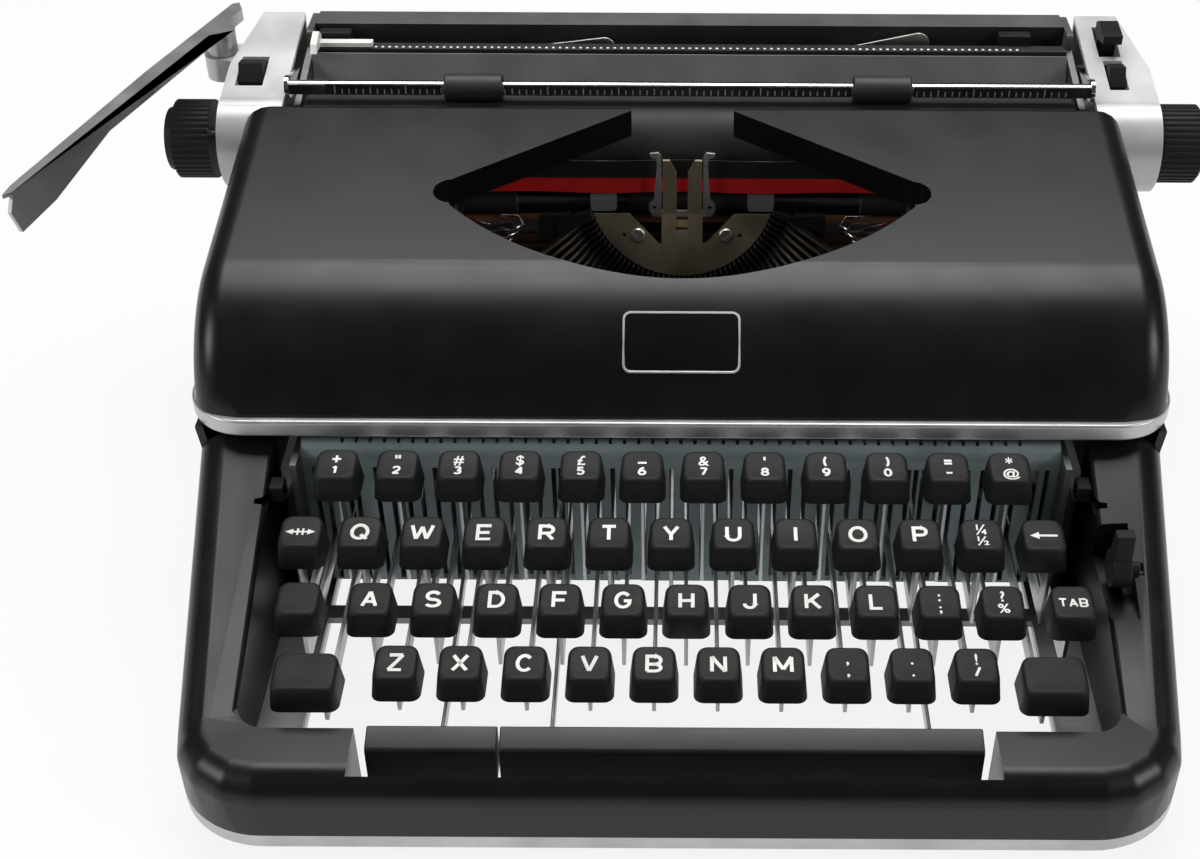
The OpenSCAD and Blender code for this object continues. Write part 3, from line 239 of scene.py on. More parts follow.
# Stage
TABLE_WHITE = 0.82
WHITE_SHARE = 0.86
TABLE_HALF = 4
LAMP_AIM = (0, 0, 0.07)
TOP_LAMP_PLACE = (0, 0.38, 1.15)
TOP_LAMP_SIZE = (1.1, 0.7)
SIDE_LAMP_PLACE = Vector((1.2, -0.55, 0.8))
SIDE_LAMP_SIZE = (0.5, 0.5)
SENSOR_W = 36
NEAREST_SEEN = 0.01

# Copies of solids: points that are one, faces that are one, and edges that are rounded
MERGE_DISTANCE = 0.004 * MM
FLAT_ANGLE = math.radians(0.6)
EDGE_ANGLE = math.radians(35)

# Looks
DUST = (0.30, 0.29, 0.27)
MOTTLE_SCALE = 55.0
PAINT_DARK = 0.9
PAINT_LIGHT = 1.15
PAINT_DUST_SCALE = 120.0
PAINT_BUMP = 0.25
METAL_DARK = 0.92
METAL_LIGHT = 1.06
METAL_LINE = 0.88
METAL_DUST_SCALE = 140.0
METAL_BUMP = 0.2
RIBBON_BLACK = (0.012, 0.011, 0.011)
RIBBON_DARK = 0.75
RIBBON_BLEED = 0.2 * MM
WEAVE_SCALE = 2600.0
WEAVE_BUMP = 0.5
WEAVE_DEPTH = 0.00006
CARD_ALPHA = 0.4
FINISH_PREFIX = "finish_"


def bow(x, y, rx, ry, start, stop, steps=12):
    """Points along part of an ellipse, with its angles in degrees."""
    turns = [math.radians(start + (stop - start) * i / steps) for i in range(steps + 1)]
    return [(x + rx * math.cos(a), y + ry * math.sin(a)) for a in turns]


# Plain capitals and figures as pen strokes in a unit square, after their width as a share of their height
BOWL = [(0, 0), (0, 1), (0.58, 1), *bow(0.58, 0.74, 0.42, 0.26, 90, -90), (0, 0.48)]
GLYPHS = {
    "A": (0.76, [[(0, 0), (0.5, 1), (1, 0)], [(0.18, 0.32), (0.82, 0.32)]]),
    "B": (0.74, [BOWL, [(0.5, 0.48), *bow(0.58, 0.24, 0.42, 0.24, 90, -90), (0, 0)]]),
    "C": (0.78, [bow(0.5, 0.5, 0.5, 0.5, 42, 318, 24)]),
    "D": (0.74, [[(0, 0), (0, 1), (0.45, 1), *bow(0.45, 0.5, 0.55, 0.5, 90, -90, 18), (0, 0)]]),
    "E": (0.74, [[(1, 1), (0, 1), (0, 0), (1, 0)], [(0, 0.51), (0.9, 0.51)]]),
    "F": (0.70, [[(1, 1), (0, 1), (0, 0)], [(0, 0.5), (0.88, 0.5)]]),
    "G": (0.78, [[*bow(0.5, 0.5, 0.5, 0.5, 42, 330, 24), (0.97, 0.47), (0.56, 0.47)]]),
    "H": (0.70, [[(0, 0), (0, 1)], [(1, 0), (1, 1)], [(0, 0.51), (1, 0.51)]]),
    "I": (0.0, [[(0.5, 0), (0.5, 1)]]),
    "J": (0.58, [[(1, 1), (1, 0.3), *bow(0.5, 0.3, 0.5, 0.3, 0, -180)]]),
    "K": (0.76, [[(0, 0), (0, 1)], [(0.94, 1), (0, 0.38)], [(0.34, 0.60), (1, 0)]]),
    "L": (0.62, [[(0, 1), (0, 0), (1, 0)]]),
    "M": (0.92, [[(0, 0), (0, 1), (0.5, 0.18), (1, 1), (1, 0)]]),
    "N": (0.72, [[(0, 0), (0, 1), (1, 0), (1, 1)]]),
    "O": (0.88, [bow(0.5, 0.5, 0.5, 0.5, 0, 360, 28)]),
    "P": (0.70, [BOWL]),
    "Q": (0.88, [bow(0.5, 0.5, 0.5, 0.5, 0, 360, 28), [(0.58, 0.3), (1, -0.04)]]),
    "R": (0.74, [BOWL, [(0.52, 0.48), (1, 0)]]),
    "S": (0.74, [[*bow(0.5, 0.745, 0.46, 0.255, 25, 265, 16), *bow(0.5, 0.25, 0.5, 0.25, 85, -155, 16)]]),
    "T": (0.76, [[(0, 1), (1, 1)], [(0.5, 1), (0.5, 0)]]),
    "U": (0.72, [[(0, 1), (0, 0.36), *bow(0.5, 0.36, 0.5, 0.36, 180, 360, 14), (1, 1)]]),
    "V": (0.78, [[(0, 1), (0.5, 0), (1, 1)]]),
    "W": (1.18, [[(0, 1), (0.25, 0), (0.5, 0.9), (0.75, 0), (1, 1)]]),
    "X": (0.76, [[(0, 1), (1, 0)], [(0, 0), (1, 1)]]),
    "Y": (0.76, [[(0, 1), (0.5, 0.44), (1, 1)], [(0.5, 0.44), (0.5, 0)]]),
    "Z": (0.72, [[(0, 1), (1, 1), (0, 0), (1, 0)]]),
    "0": (0.62, [bow(0.5, 0.5, 0.5, 0.5, 0, 360, 24)]),
    "1": (0.36, [[(0, 0.76), (0.7, 1), (0.7, 0)]]),
    "2": (0.62, [[*bow(0.5, 0.7, 0.5, 0.3, 165, -38), (0, 0), (1, 0)]]),
    "3": (0.62, [[*bow(0.46, 0.755, 0.44, 0.245, 150, -90), *bow(0.46, 0.255, 0.5, 0.255, 90, -150)]]),
    "4": (0.66, [[(0.76, 0), (0.76, 1), (0, 0.28), (1, 0.28)]]),
    "5": (0.62, [[(0.92, 1), (0.16, 1), (0.08, 0.5), *bow(0.48, 0.32, 0.5, 0.32, 125, -150)]]),
    "6": (0.62, [bow(0.5, 0.31, 0.5, 0.31, 0, 360, 20), [(0, 0.31), (0.12, 0.68), (0.4, 0.93), (0.82, 1)]]),
    "7": (0.62, [[(0, 1), (1, 1), (0.36, 0)]]),
    "8": (0.62, [bow(0.5, 0.76, 0.42, 0.24, 0, 360, 20), bow(0.5, 0.26, 0.5, 0.26, 0, 360, 20)]),
    "9": (0.62, [bow(0.5, 0.69, 0.5, 0.31, 0, 360, 20), [(1, 0.69), (0.88, 0.32), (0.6, 0.07), (0.18, 0)]]),
    "+": (0.9, [[(0, 0.5), (1, 0.5)], [(0.5, 0.05), (0.5, 0.95)]]),
    "=": (0.8, [[(0, 0.68), (1, 0.68)], [(0, 0.32), (1, 0.32)]]),
    "-": (0.6, [[(0, 0.5), (1, 0.5)]]),
    "_": (0.9, [[(0, 0.2), (1, 0.2)]]),
    "(": (0.3, [bow(1, 0.5, 1, 0.6, 110, 250)]),
    ")": (0.3, [bow(0, 0.5, 1, 0.6, 70, -70)]),
    "/": (0.5, [[(0, -0.05), (1, 1.05)]]),
    "'": (0.0, [[(0.5, 0.6), (0.5, 1.05)]]),
    "\"": (0.34, [[(0, 0.6), (0, 1.05)], [(1, 0.6), (1, 1.05)]]),
}


def paint(name, description, value):
    """A colour setting."""
    return FloatVectorProperty(
        name=name, description=description, subtype="COLOR", size=3, min=0, max=1, default=value)


def length(name, description, value, low, high):
    """A length setting, given in millimetres."""
    return FloatProperty(
        name=name, description=description, unit="LENGTH", default=value * MM, min=low * MM, max=high * MM)


def amount(name, description, value, low, high, subtype="NONE"):
    """A plain number or an angle as a setting."""
    return FloatProperty(
        name=name, description=description, subtype=subtype, default=value, min=low, max=high)


class TypewriterFinishes(PropertyGroup):
    """Colours of the finishes"""

    housing_black: paint("Housing black", "Satin paint of cover and lower housing", (0.0050, 0.0049, 0.0048))
    key_black: paint("Key black", "Moulded plastic of the keys and knobs", (0.0100, 0.0100, 0.0108))
    legend_white: paint("Legend white", "Legends of the keys and marks of the scales", (0.80, 0.78, 0.74))
    trim_silver: paint("Trim silver", "Painted base rim and cover trim", (0.50, 0.50, 0.50))
    end_aluminium: paint("End cover aluminium", "Satin metal of the end covers", (0.56, 0.565, 0.57))
    comb_grey: paint("Comb grey", "Grey-green plating of the key comb", (0.27, 0.33, 0.34))
    guide_bronze: paint("Guide bronze", "Type guide in the middle of the window", (0.58, 0.48, 0.34))
    ribbon_red: paint("Ribbon red", "Lower part of the ribbon", (0.95, 0.016, 0.016))


class TypewriterDetails(PropertyGroup):
    """Sizes of the added details"""

    letter_height: length("Letter height", "Height of a capital on a key", 6.5, 4, 8)
    pair_height: length("Pair height", "Height of each mark where a key has two", 3.8, 2.5, 4.5)
    letter_stroke: length("Letter stroke", "Thickness of a capital's stroke", 1.1, 0.4, 1.6)
    pair_stroke: length("Pair stroke", "Thickness of a stroke where a key has two marks", 0.76, 0.3, 0.9)
    letter_relief: length("Letter relief", "How far a legend stands out of its key", 0.07, 0.02, 0.3)
    badge_width: length("Badge width", "Width of the bare plate on the cover", 37, 20, 60)
    badge_height: length("Badge height", "Height of the bare plate on the cover", 19.6, 10, 24)


class TypewriterStage(PropertyGroup):
    """Camera and lights"""

    lens: amount("Lens", "Focal length of the camera in millimetres", 51.47, 20, 120)
    camera_back: length("Camera distance", "How far the camera stands in front of the origin", 461, 200, 2000)
    camera_high: length("Camera height", "Height of the camera above the table", 408, 100, 2000)
    camera_pitch: amount("Camera pitch", "How far it looks down", math.radians(38), 0, math.pi / 2, "ANGLE")
    camera_roll: amount("Camera roll", "Turn about the line of sight", math.radians(0.3), -0.1, 0.1, "ANGLE")
    camera_shift: amount("Sideways shift", "Shift of the picture sideways", -0.0675, -0.3, 0.3)
    top_light: amount("Top light", "Power of the softbox above in watts", 15, 0, 100)
    side_light: amount("Side light", "Power of each side softbox in watts", 6, 0, 100)
    room_light: amount("Room light", "Strength of the even light of the room", 0.06, 0, 2)


# Small helpers for shader trees
def shader_node(tree, kind, **values):
    """A new node with its attributes set."""
    node = tree.nodes.new(kind)
    for name, value in values.items():
        setattr(node, name, value)
    return node


def maths(tree, operation, first, second):
    """The result of an operation on two sockets, or on a socket and a number."""
    node = shader_node(tree, "ShaderNodeMath", operation=operation)
    for socket, value in zip(node.inputs, (first, second)):
        if isinstance(value, bpy.types.NodeSocket):
            tree.links.new(value, socket)
        else:
            socket.default_value = value
    return node.outputs["Value"]


def shader_group(name, inputs, outputs):
    """A new node group with float or vector inputs and float outputs, and its end nodes."""
    tree = bpy.data.node_groups.new(name, "ShaderNodeTree")
    for label, value in inputs:
        kind = "NodeSocketVector" if isinstance(value, tuple) else "NodeSocketFloat"
        socket = tree.interface.new_socket(name=label, in_out="INPUT", socket_type=kind)
        socket.default_value = value
    for label in outputs:
        tree.interface.new_socket(name=label, in_out="OUTPUT", socket_type="NodeSocketFloat")
    return tree, tree.nodes.new("NodeGroupInput"), tree.nodes.new("NodeGroupOutput")


def place_on_object(tree, stretch=None):
    """Coordinates that stay with the piece, scaled along each axis by a socket where one is given."""
    place = shader_node(tree, "ShaderNodeTexCoord").outputs["Object"]
    if stretch is None:
        return place
    scaled = shader_node(tree, "ShaderNodeVectorMath", operation="MULTIPLY")
    tree.links.new(place, scaled.inputs[0])
    tree.links.new(stretch, scaled.inputs[1])
    return scaled.outputs["Vector"]


def noise_value(tree, place, scale, detail):
    """A noise whose scale comes from a socket."""
    noise = shader_node(tree, "ShaderNodeTexNoise")
    noise.inputs["Detail"].default_value = detail
    tree.links.new(place, noise.inputs["Vector"])
    tree.links.new(scale, noise.inputs["Scale"])
    return noise.outputs["Fac"]


def ranged(tree, value, low, high, to_low=0.0, to_high=1.0):
    """A value taken from one range to another, and held inside it."""
    step = shader_node(tree, "ShaderNodeMapRange")
    step.inputs["From Min"].default_value = low
    step.inputs["From Max"].default_value = high
    step.inputs["To Min"].default_value = to_low
    step.inputs["To Max"].default_value = to_high
    tree.links.new(value, step.inputs["Value"])
    return step.outputs["Result"]


def build_soft_mottle():
    """Slow, cloudy change over a surface, as paint and castings have."""
    tree, start, end = shader_group("soft_mottle", [("Scale", 40.0)], ["Mask"])
    cloud = noise_value(tree, place_on_object(tree), start.outputs["Scale"], 4.0)
    tree.links.new(ranged(tree, cloud, 0.32, 0.68), end.inputs["Mask"])


def build_fine_grain():
    """Small even bumps of moulded plastic and sprayed paint."""
    tree, start, end = shader_group("fine_grain", [("Scale", 1500.0)], ["Height"])
    grain = noise_value(tree, place_on_object(tree), start.outputs["Scale"], 2.0)
    tree.links.new(grain, end.inputs["Height"])


def build_brushed_lines():
    """Fine lines drawn out along one axis, as rolled and brushed metal has."""
    tree, start, end = shader_group(
        "brushed_lines", [("Scale", 300.0), ("Stretch", (1.0, 1.0, 1.0))], ["Mask"])
    place = place_on_object(tree, start.outputs["Stretch"])
    lines = noise_value(tree, place, start.outputs["Scale"], 3.0)
    tree.links.new(ranged(tree, lines, 0.3, 0.7), end.inputs["Mask"])


def build_settled_dust():
    """Dust that lies in patches on what faces up."""
    tree, start, end = shader_group("settled_dust", [("Scale", 90.0), ("Amount", 0.2)], ["Mask"])
    facing = shader_node(tree, "ShaderNodeSeparateXYZ")
    tree.links.new(shader_node(tree, "ShaderNodeNewGeometry").outputs["Normal"], facing.inputs["Vector"])
    upward = ranged(tree, facing.outputs["Z"], 0.5, 1.0)
    cloud = noise_value(tree, place_on_object(tree), start.outputs["Scale"], 6.0)
    patches = ranged(tree, cloud, 0.45, 0.75)
    lying = maths(tree, "MULTIPLY", upward, patches)
    tree.links.new(maths(tree, "MULTIPLY", lying, start.outputs["Amount"]), end.inputs["Mask"])


def build_cloth_weave():
    """Over and under threads of a woven ribbon."""
    tree, start, end = shader_group("cloth_weave", [("Scale", 2600.0)], ["Height"])
    place = place_on_object(tree)
    threads = []
    for axis in ("X", "Z"):
        wave = shader_node(tree, "ShaderNodeTexWave", bands_direction=axis)
        wave.inputs["Distortion"].default_value = 0.6
        tree.links.new(place, wave.inputs["Vector"])
        tree.links.new(start.outputs["Scale"], wave.inputs["Scale"])
        threads.append(wave.outputs["Fac"])
    tree.links.new(maths(tree, "MULTIPLY", *threads), end.inputs["Height"])


def build_shared_effects():
    """Every node group, once."""
    for build in (build_soft_mottle, build_fine_grain, build_brushed_lines, build_settled_dust,
                  build_cloth_weave):
        build()


def effect(tree, name, **values):
    """One of the shared effects, placed in a material with its own values."""
    node = shader_node(tree, "ShaderNodeGroup", node_tree=bpy.data.node_groups[name])
    for label, value in values.items():
        node.inputs[label].default_value = value
    return node


def mixed_colour(tree, mask, first, second):
    """Two colours or sockets, mixed by a mask."""
    mix = shader_node(tree, "ShaderNodeMix", data_type="RGBA")
    tree.links.new(mask, mix.inputs["Factor"])
    for label, colour in (("A", first), ("B", second)):
        socket = [s for s in mix.inputs if s.name == label and s.type == "RGBA"][0]
        if isinstance(colour, bpy.types.NodeSocket):
            tree.links.new(colour, socket)
        else:
            socket.default_value = (*colour, 1.0)
    return [s for s in mix.outputs if s.type == "RGBA"][0]


def bumped(tree, height, strength, depth):
    """A normal from a height."""
    bump = shader_node(tree, "ShaderNodeBump")
    bump.inputs["Strength"].default_value = strength
    bump.inputs["Distance"].default_value = depth
    tree.links.new(height, bump.inputs["Height"])
    return bump.outputs["Normal"]


def new_finish(name, rough, metallic=0.0):
    """A material with its shader, the slow mottle that every finish has, and roughness from it.

    The frame's own materials have the slots' names, so that the finishes need names of their own.
    """
    material = bpy.data.materials.new(FINISH_PREFIX + name)
    material.use_nodes = True
    tree = material.node_tree
    shader = tree.nodes["Principled BSDF"]
    shader.inputs["Metallic"].default_value = metallic
    mottle = effect(tree, "soft_mottle", Scale=MOTTLE_SCALE).outputs["Mask"]
    tree.links.new(ranged(tree, mottle, 0.0, 1.0, rough[0], rough[1]), shader.inputs["Roughness"])
    return tree, shader, mottle


def toned(colour, share):
    """A colour made lighter or darker."""
    return tuple(min(1.0, c * share) for c in colour)


def painted(name, colour, rough, grain=1400.0, depth=0.00003, dust=0.05, metallic=0.0, gloss=0.5):
    """Sprayed or moulded finish: mottled colour, fine grain and a breath of dust."""
    tree, shader, mottle = new_finish(name, rough, metallic)
    shader.inputs["Specular IOR Level"].default_value = gloss
    tone = mixed_colour(tree, mottle, toned(colour, PAINT_DARK), toned(colour, PAINT_LIGHT))
    dusty = effect(tree, "settled_dust", Scale=PAINT_DUST_SCALE, Amount=dust).outputs["Mask"]
    tree.links.new(mixed_colour(tree, dusty, tone, DUST), shader.inputs["Base Color"])
    height = effect(tree, "fine_grain", Scale=grain).outputs["Height"]
    tree.links.new(bumped(tree, height, PAINT_BUMP, depth), shader.inputs["Normal"])


def metal(name, colour, rough, stretch=(1.0, 1.0, 1.0), lines=500.0, depth=0.00002, dust=0.04):
    """Bare or plated metal with drawn lines, mottle and a breath of dust."""
    tree, shader, mottle = new_finish(name, rough, 1.0)
    drawn = effect(tree, "brushed_lines", Scale=lines, Stretch=stretch).outputs["Mask"]
    tone = mixed_colour(tree, mottle, toned(colour, METAL_DARK), toned(colour, METAL_LIGHT))
    tone = mixed_colour(tree, drawn, toned(colour, METAL_LINE), tone)
    dusty = effect(tree, "settled_dust", Scale=METAL_DUST_SCALE, Amount=dust).outputs["Mask"]
    tree.links.new(mixed_colour(tree, dusty, tone, DUST), shader.inputs["Base Color"])
    tree.links.new(bumped(tree, drawn, METAL_BUMP, depth), shader.inputs["Normal"])


def ribbon_cloth(name, red):
    """Inked cloth: upper part black, lower part red, with its weave."""
    tree, shader, mottle = new_finish(name, (0.55, 0.7))
    height = shader_node(tree, "ShaderNodeSeparateXYZ")
    tree.links.new(place_on_object(tree), height.inputs["Vector"])
    middle = RIBBON_LOW + RIBBON_H * RIBBON_RED_SHARE
    upper = ranged(tree, height.outputs["Z"], middle - RIBBON_BLEED, middle + RIBBON_BLEED)
    reds = mixed_colour(tree, mottle, toned(red, RIBBON_DARK), red)
    tree.links.new(mixed_colour(tree, upper, reds, RIBBON_BLACK), shader.inputs["Base Color"])
    threads = effect(tree, "cloth_weave", Scale=WEAVE_SCALE).outputs["Height"]
    tree.links.new(bumped(tree, threads, WEAVE_BUMP, WEAVE_DEPTH), shader.inputs["Normal"])


def build_finishes(colours):
    """Every finish of the typewriter."""
    build_shared_effects()
    painted("black_paint", tuple(colours.housing_black), (0.30, 0.36), grain=1700.0, dust=0.0, gloss=0.36)
    painted("silver_paint", tuple(colours.trim_silver), (0.34, 0.42), grain=2200.0, dust=0.0, metallic=0.8)
    painted("key_plastic", tuple(colours.key_black), (0.50, 0.58), grain=1500.0, depth=0.00006, dust=0.02,
            gloss=0.22)
    painted("bar_plastic", tuple(colours.key_black), (0.36, 0.44), grain=1500.0, dust=0.02, gloss=0.5)
    painted("legend_white", tuple(colours.legend_white), (0.5, 0.6), dust=0.02)
    painted("rubber", (0.018, 0.018, 0.018), (0.50, 0.62), grain=1100.0, depth=0.00005, dust=0.03)
    painted("comb_steel", tuple(colours.comb_grey), (0.38, 0.5), grain=900.0, dust=0.05, metallic=0.25)
    painted("black_metal", (0.014, 0.014, 0.014), (0.42, 0.52), grain=1300.0, dust=0.03)
    painted("segment_black", (0.010, 0.010, 0.010), (0.38, 0.5), grain=1200.0, dust=0.06, metallic=0.3)
    painted("badge_black", (0.006, 0.006, 0.006), (0.20, 0.28), grain=2400.0, dust=0.0, gloss=0.2)
    painted("scale_grey", (0.30, 0.30, 0.29), (0.5, 0.6), dust=0.0)
    painted("clear_card", (0.42, 0.42, 0.43), (0.16, 0.24), grain=2400.0, dust=0.05)
    finish("clear_card").node_tree.nodes["Principled BSDF"].inputs["Alpha"].default_value = CARD_ALPHA
    painted("white_plastic", (0.78, 0.77, 0.73), (0.4, 0.5), dust=0.02)
    painted("rail_brown", (0.34, 0.17, 0.09), (0.42, 0.55), grain=700.0, dust=0.04, metallic=0.5)
    painted("satin_aluminium", tuple(colours.end_aluminium), (0.30, 0.38), grain=2400.0, dust=0.02,
            metallic=0.25)
    # The paper table is black painted sheet; this lighter grey is painted sheen in place of its reflection.
    painted("paper_table_sheen_grey", (0.15, 0.148, 0.16), (0.34, 0.44), dust=0.03)
    # Painted light: the rear cover's top, back and end plates get this lighter grey as a lit copy of its
    # black; its faces inside the recess keep black as painted shade.
    painted("rear_cover_lit_grey", (0.085, 0.085, 0.083), (0.34, 0.44), dust=0.03)
    painted("return_steel", (0.40, 0.40, 0.41), (0.30, 0.38), grain=2400.0, dust=0.02, metallic=0.7)
    metal("frame_steel", (0.20, 0.205, 0.21), (0.40, 0.55), stretch=(0.15, 1.0, 1.0))
    metal("lever_steel", (0.42, 0.43, 0.44), (0.30, 0.42), stretch=(1.0, 0.08, 1.0))
    metal("type_steel", (0.09, 0.09, 0.09), (0.30, 0.42), stretch=(1.0, 1.0, 0.15))
    metal("bronze", tuple(colours.guide_bronze), (0.34, 0.48), stretch=(1.0, 1.0, 0.2), dust=0.1)
    metal("nickel", (0.72, 0.69, 0.65), (0.28, 0.40), stretch=(1.0, 1.0, 0.3))
    metal("chrome", (0.72, 0.72, 0.73), (0.10, 0.18), stretch=(0.05, 1.0, 1.0), depth=0.000006)
    ribbon_cloth("ribbon_cloth", tuple(colours.ribbon_red))


def finish(name):
    """A finish by its name."""
    return bpy.data.materials[FINISH_PREFIX + name]


def bridged(form, rings):
    """Faces between each ring of points and the next one, right round."""
    count = len(rings[0])
    for a, b in zip(rings, rings[1:]):
        for i in range(count):
            j = (i + 1) % count
            form.faces.new((a[i], a[j], b[j], b[i]))


def outward(form):
    """The form with its faces turned outwards."""
    bmesh.ops.recalc_face_normals(form, faces=form.faces)
    return form


def closed_form(form, rings):
    """Rings of points as a solid with a face at each end."""
    bridged(form, rings)
    form.faces.new(list(reversed(rings[0])))
    form.faces.new(rings[-1])
    return outward(form)


def plate_between(first, second):
    """A plate with one outline on each face."""
    form = bmesh.new()
    return closed_form(form, [[form.verts.new(point) for point in outline] for outline in (first, second)])


def sliced(form, place, normal, **options):
    """Splits a form's faces along a plane. The result says what was cut."""
    whole = form.verts[:] + form.edges[:] + form.faces[:]
    return bmesh.ops.bisect_plane(form, geom=whole, dist=1e-7, plane_co=place, plane_no=normal, **options)


def new_object(name, form, materials):
    """A form as an object of the scene."""
    mesh = bpy.data.meshes.new(name)
    form.to_mesh(mesh)
    form.free()
    for material in materials:
        mesh.materials.append(finish(material))
    thing = bpy.data.objects.new(name, mesh)
    bpy.context.scene.collection.objects.link(thing)
    return thing


def new_piece(name, form, body, materials):
    """A finished mesh as a piece of its own that rides on a body."""
    piece = new_object(name, form, materials)
    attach(piece, body)
    return piece


def smoothed(piece, angle=40):
    """Smooth shading, kept sharp where the faces meet at more than an angle."""
    for face in piece.data.polygons:
        face.use_smooth = True
    piece.data.set_sharp_from_angle(angle=math.radians(angle))
    return piece


def eased(piece, width, segments):
    """Rounded edges, with the flats left flat."""
    bevel = piece.modifiers.new("eased_edges", "BEVEL")
    bevel.width = width
    bevel.segments = segments
    bevel.limit_method = "ANGLE"
    bevel.angle_limit = EDGE_ANGLE
    bevel.miter_outer = "MITER_ARC"
    bevel.harden_normals = False
    flats = piece.modifiers.new("flat_faces", "WEIGHTED_NORMAL")
    flats.keep_sharp = False
    return piece


def dressed(node, materials, edge, segments=3, rule=None, seam=None):
    """A copy of a node's solid with rounded edges, in millimetres, which replaces it.

    rule gives the material's place for a face's middle. seam is a place along X where faces are split for it.
    """
    form = bmesh.new()
    form.from_mesh(frame["nodes"][node].data)
    bmesh.ops.remove_doubles(form, verts=form.verts, dist=MERGE_DISTANCE)
    bmesh.ops.dissolve_limit(form, angle_limit=FLAT_ANGLE, verts=form.verts, edges=form.edges)
    if seam is not None:
        sliced(form, (seam, 0, 0), (1, 0, 0))
    for face in form.faces:
        face.material_index = rule(face.calc_center_median()) if rule else 0
    piece = new_piece("soft_" + node, form, BODY_OF[node], materials)
    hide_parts(node)
    smoothed(piece, 60)
    return eased(piece, edge * MM, segments)


def recoloured(node, material):
    """A node that keeps its own solid and gets a finish."""
    solid = frame["nodes"][node]
    solid.data.materials.clear()
    solid.data.materials.append(finish(material))


class TYPEWRITER_OT_housing(Operator):
    """Dress the base, the lower housing and the ribbon cover"""

    bl_idname = "typewriter.housing"
    bl_label = "Housing and cover"

    def execute(self, context):
        dressed("base_rim", ["silver_paint"], 1.2)
        dressed("rubber_feet", ["rubber"], 0.6)
        dressed("lower_housing", ["black_paint"], 0.8)
        dressed("ribbon_cover", ["black_paint"], 0.7)
        dressed("cover_trim", ["silver_paint"], 1.0)
        recoloured("cover_hinge_lugs", "frame_steel")
        return {"FINISHED"}


def turned_out(middle, y, z, radius):
    """Whether a point lies farther than a radius from an axis along X."""
    return math.hypot(middle.y - y, middle.z - z) > radius


def ribbed_sheet(half, front, back, low):
    """A thin pressed sheet with raised ribs from front to back."""
    pitch = 2 * half / (PAN_RIBS + 1)
    line = [(-half, low)]
    for i in range(PAN_RIBS):
        x = -half + pitch * (i + 1)
        line += [(x + offset * MM, low + rise * MM) for offset, rise in RIB_SECTION]
    line.append((half, low))
    section = line + [(x, z + PAN_T) for x, z in reversed(line)]
    return plate_between(*[[(x, y, z) for x, z in section] for y in (front, back)])


class TYPEWRITER_OT_works(Operator):
    """Dress the frame, the comb, the type basket and the spools"""

    bl_idname = "typewriter.works"
    bl_label = "Frame and works"

    def execute(self, context):
        recoloured("chassis_frame", "frame_steel")
        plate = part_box("chassis_frame")[0].z
        # A dark ribbed sheet under the works: painted shade where the inside of the machine is dark.
        pan = ribbed_sheet(PAN_HALF, PAN_FRONT, PAN_BACK, plate + PAN_LIFT)
        new_piece("shade_pan", pan, "base", ["black_metal"])
        recoloured("key_comb", "comb_steel")
        dressed("carriage_rails", ["rail_brown"], 0.3, 2)
        dressed("mainspring_drum", ["frame_steel"], 0.4, 2)
        dressed("type_segment", ["segment_black"], 0.15, 1)
        dressed("type_bars", ["type_steel"], 0.12, 1)
        dressed("type_bar_h", ["type_steel"], 0.12, 1)
        dressed("type_guide", ["bronze"], 0.2, 2)
        dressed("ribbon_vibrator", ["nickel"], 0.15, 2)
        for side, node in ((-1, "ribbon_spool_left"), (1, "ribbon_spool_right")):
            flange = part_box(node)

            def wound(middle, side=side, flange=flange):
                inside = flange[0].z + FLANGE_T < middle.z < flange[1].z - FLANGE_T
                far = math.hypot(middle.x - side * SPOOL_X, middle.y - SPOOL_Y) > PACK_CORE
                return 1 if inside and far else 0

            dressed(node, ["black_metal", "ribbon_cloth"], 0.3, 2, wound)
        for node in ("ribbon_selector", "touch_selector", "stroke_lever"):
            dressed(node, ["key_plastic"], 0.5)
        return {"FINISHED"}


def dish_height(y, key_y, top):
    """Height of a key's dished and tilted top at a place from front to back."""
    axis_y = key_y - math.sin(KEY_TILT) * (DISH_R - DISH_DEPTH)
    axis_z = top + math.cos(KEY_TILT) * (DISH_R - DISH_DEPTH)
    return axis_z - math.sqrt(DISH_R ** 2 - (y - axis_y) ** 2)


def add_ring(form, outline, place, height):
    """A ring of points round a key. height gives a point's height for its place from front to back."""
    return [form.verts.new((place[0] + u, place[1] + v, height(place[1] + v))) for u, v in outline]


def add_cap(form, x, y, top, width=KEY_W, depth=KEY_W):
    """A moulded key cap: eased skirt, drawn-in sides, round upper edge and dished top."""
    seat = top - KEY_H
    place = (x, y)

    def outline(inset):
        return rounded_outline(width - 2 * inset, depth - 2 * inset, CAP_CORNER)

    rings = [add_ring(form, outline(SKIRT_EASE), place, lambda v: seat),
             add_ring(form, outline(0), place, lambda v: seat + SKIRT_EASE)]
    for step in range(CAP_EDGE_STEPS + 1):
        turn = math.pi / 2 * step / CAP_EDGE_STEPS
        drop = CAP_EDGE * (1 - math.sin(turn))
        inset = KEY_TAPER + CAP_EDGE * (1 - math.cos(turn))
        rings.append(add_ring(form, outline(inset), place, lambda v: dish_height(v, y, top) - drop))
    last = outline(KEY_TAPER + CAP_EDGE)
    for share in DISH_RINGS:
        rings.append(add_ring(form, [(u * share, v * share) for u, v in last], place,
                              lambda v: dish_height(v, y, top)))
    bridged(form, rings)
    count = len(last)
    centre = form.verts.new((x, y, dish_height(y, y, top)))
    for i in range(count):
        form.faces.new((rings[-1][i], rings[-1][(i + 1) % count], centre))
    form.faces.new(list(reversed(rings[0])))


def row_place(row):
    """Front-to-back place and top of a key row, counted from the back."""
    return FRONT_ROW_Y + (LOWER_ROW - row) * ROW_STEP, ROW_TOPS[row]


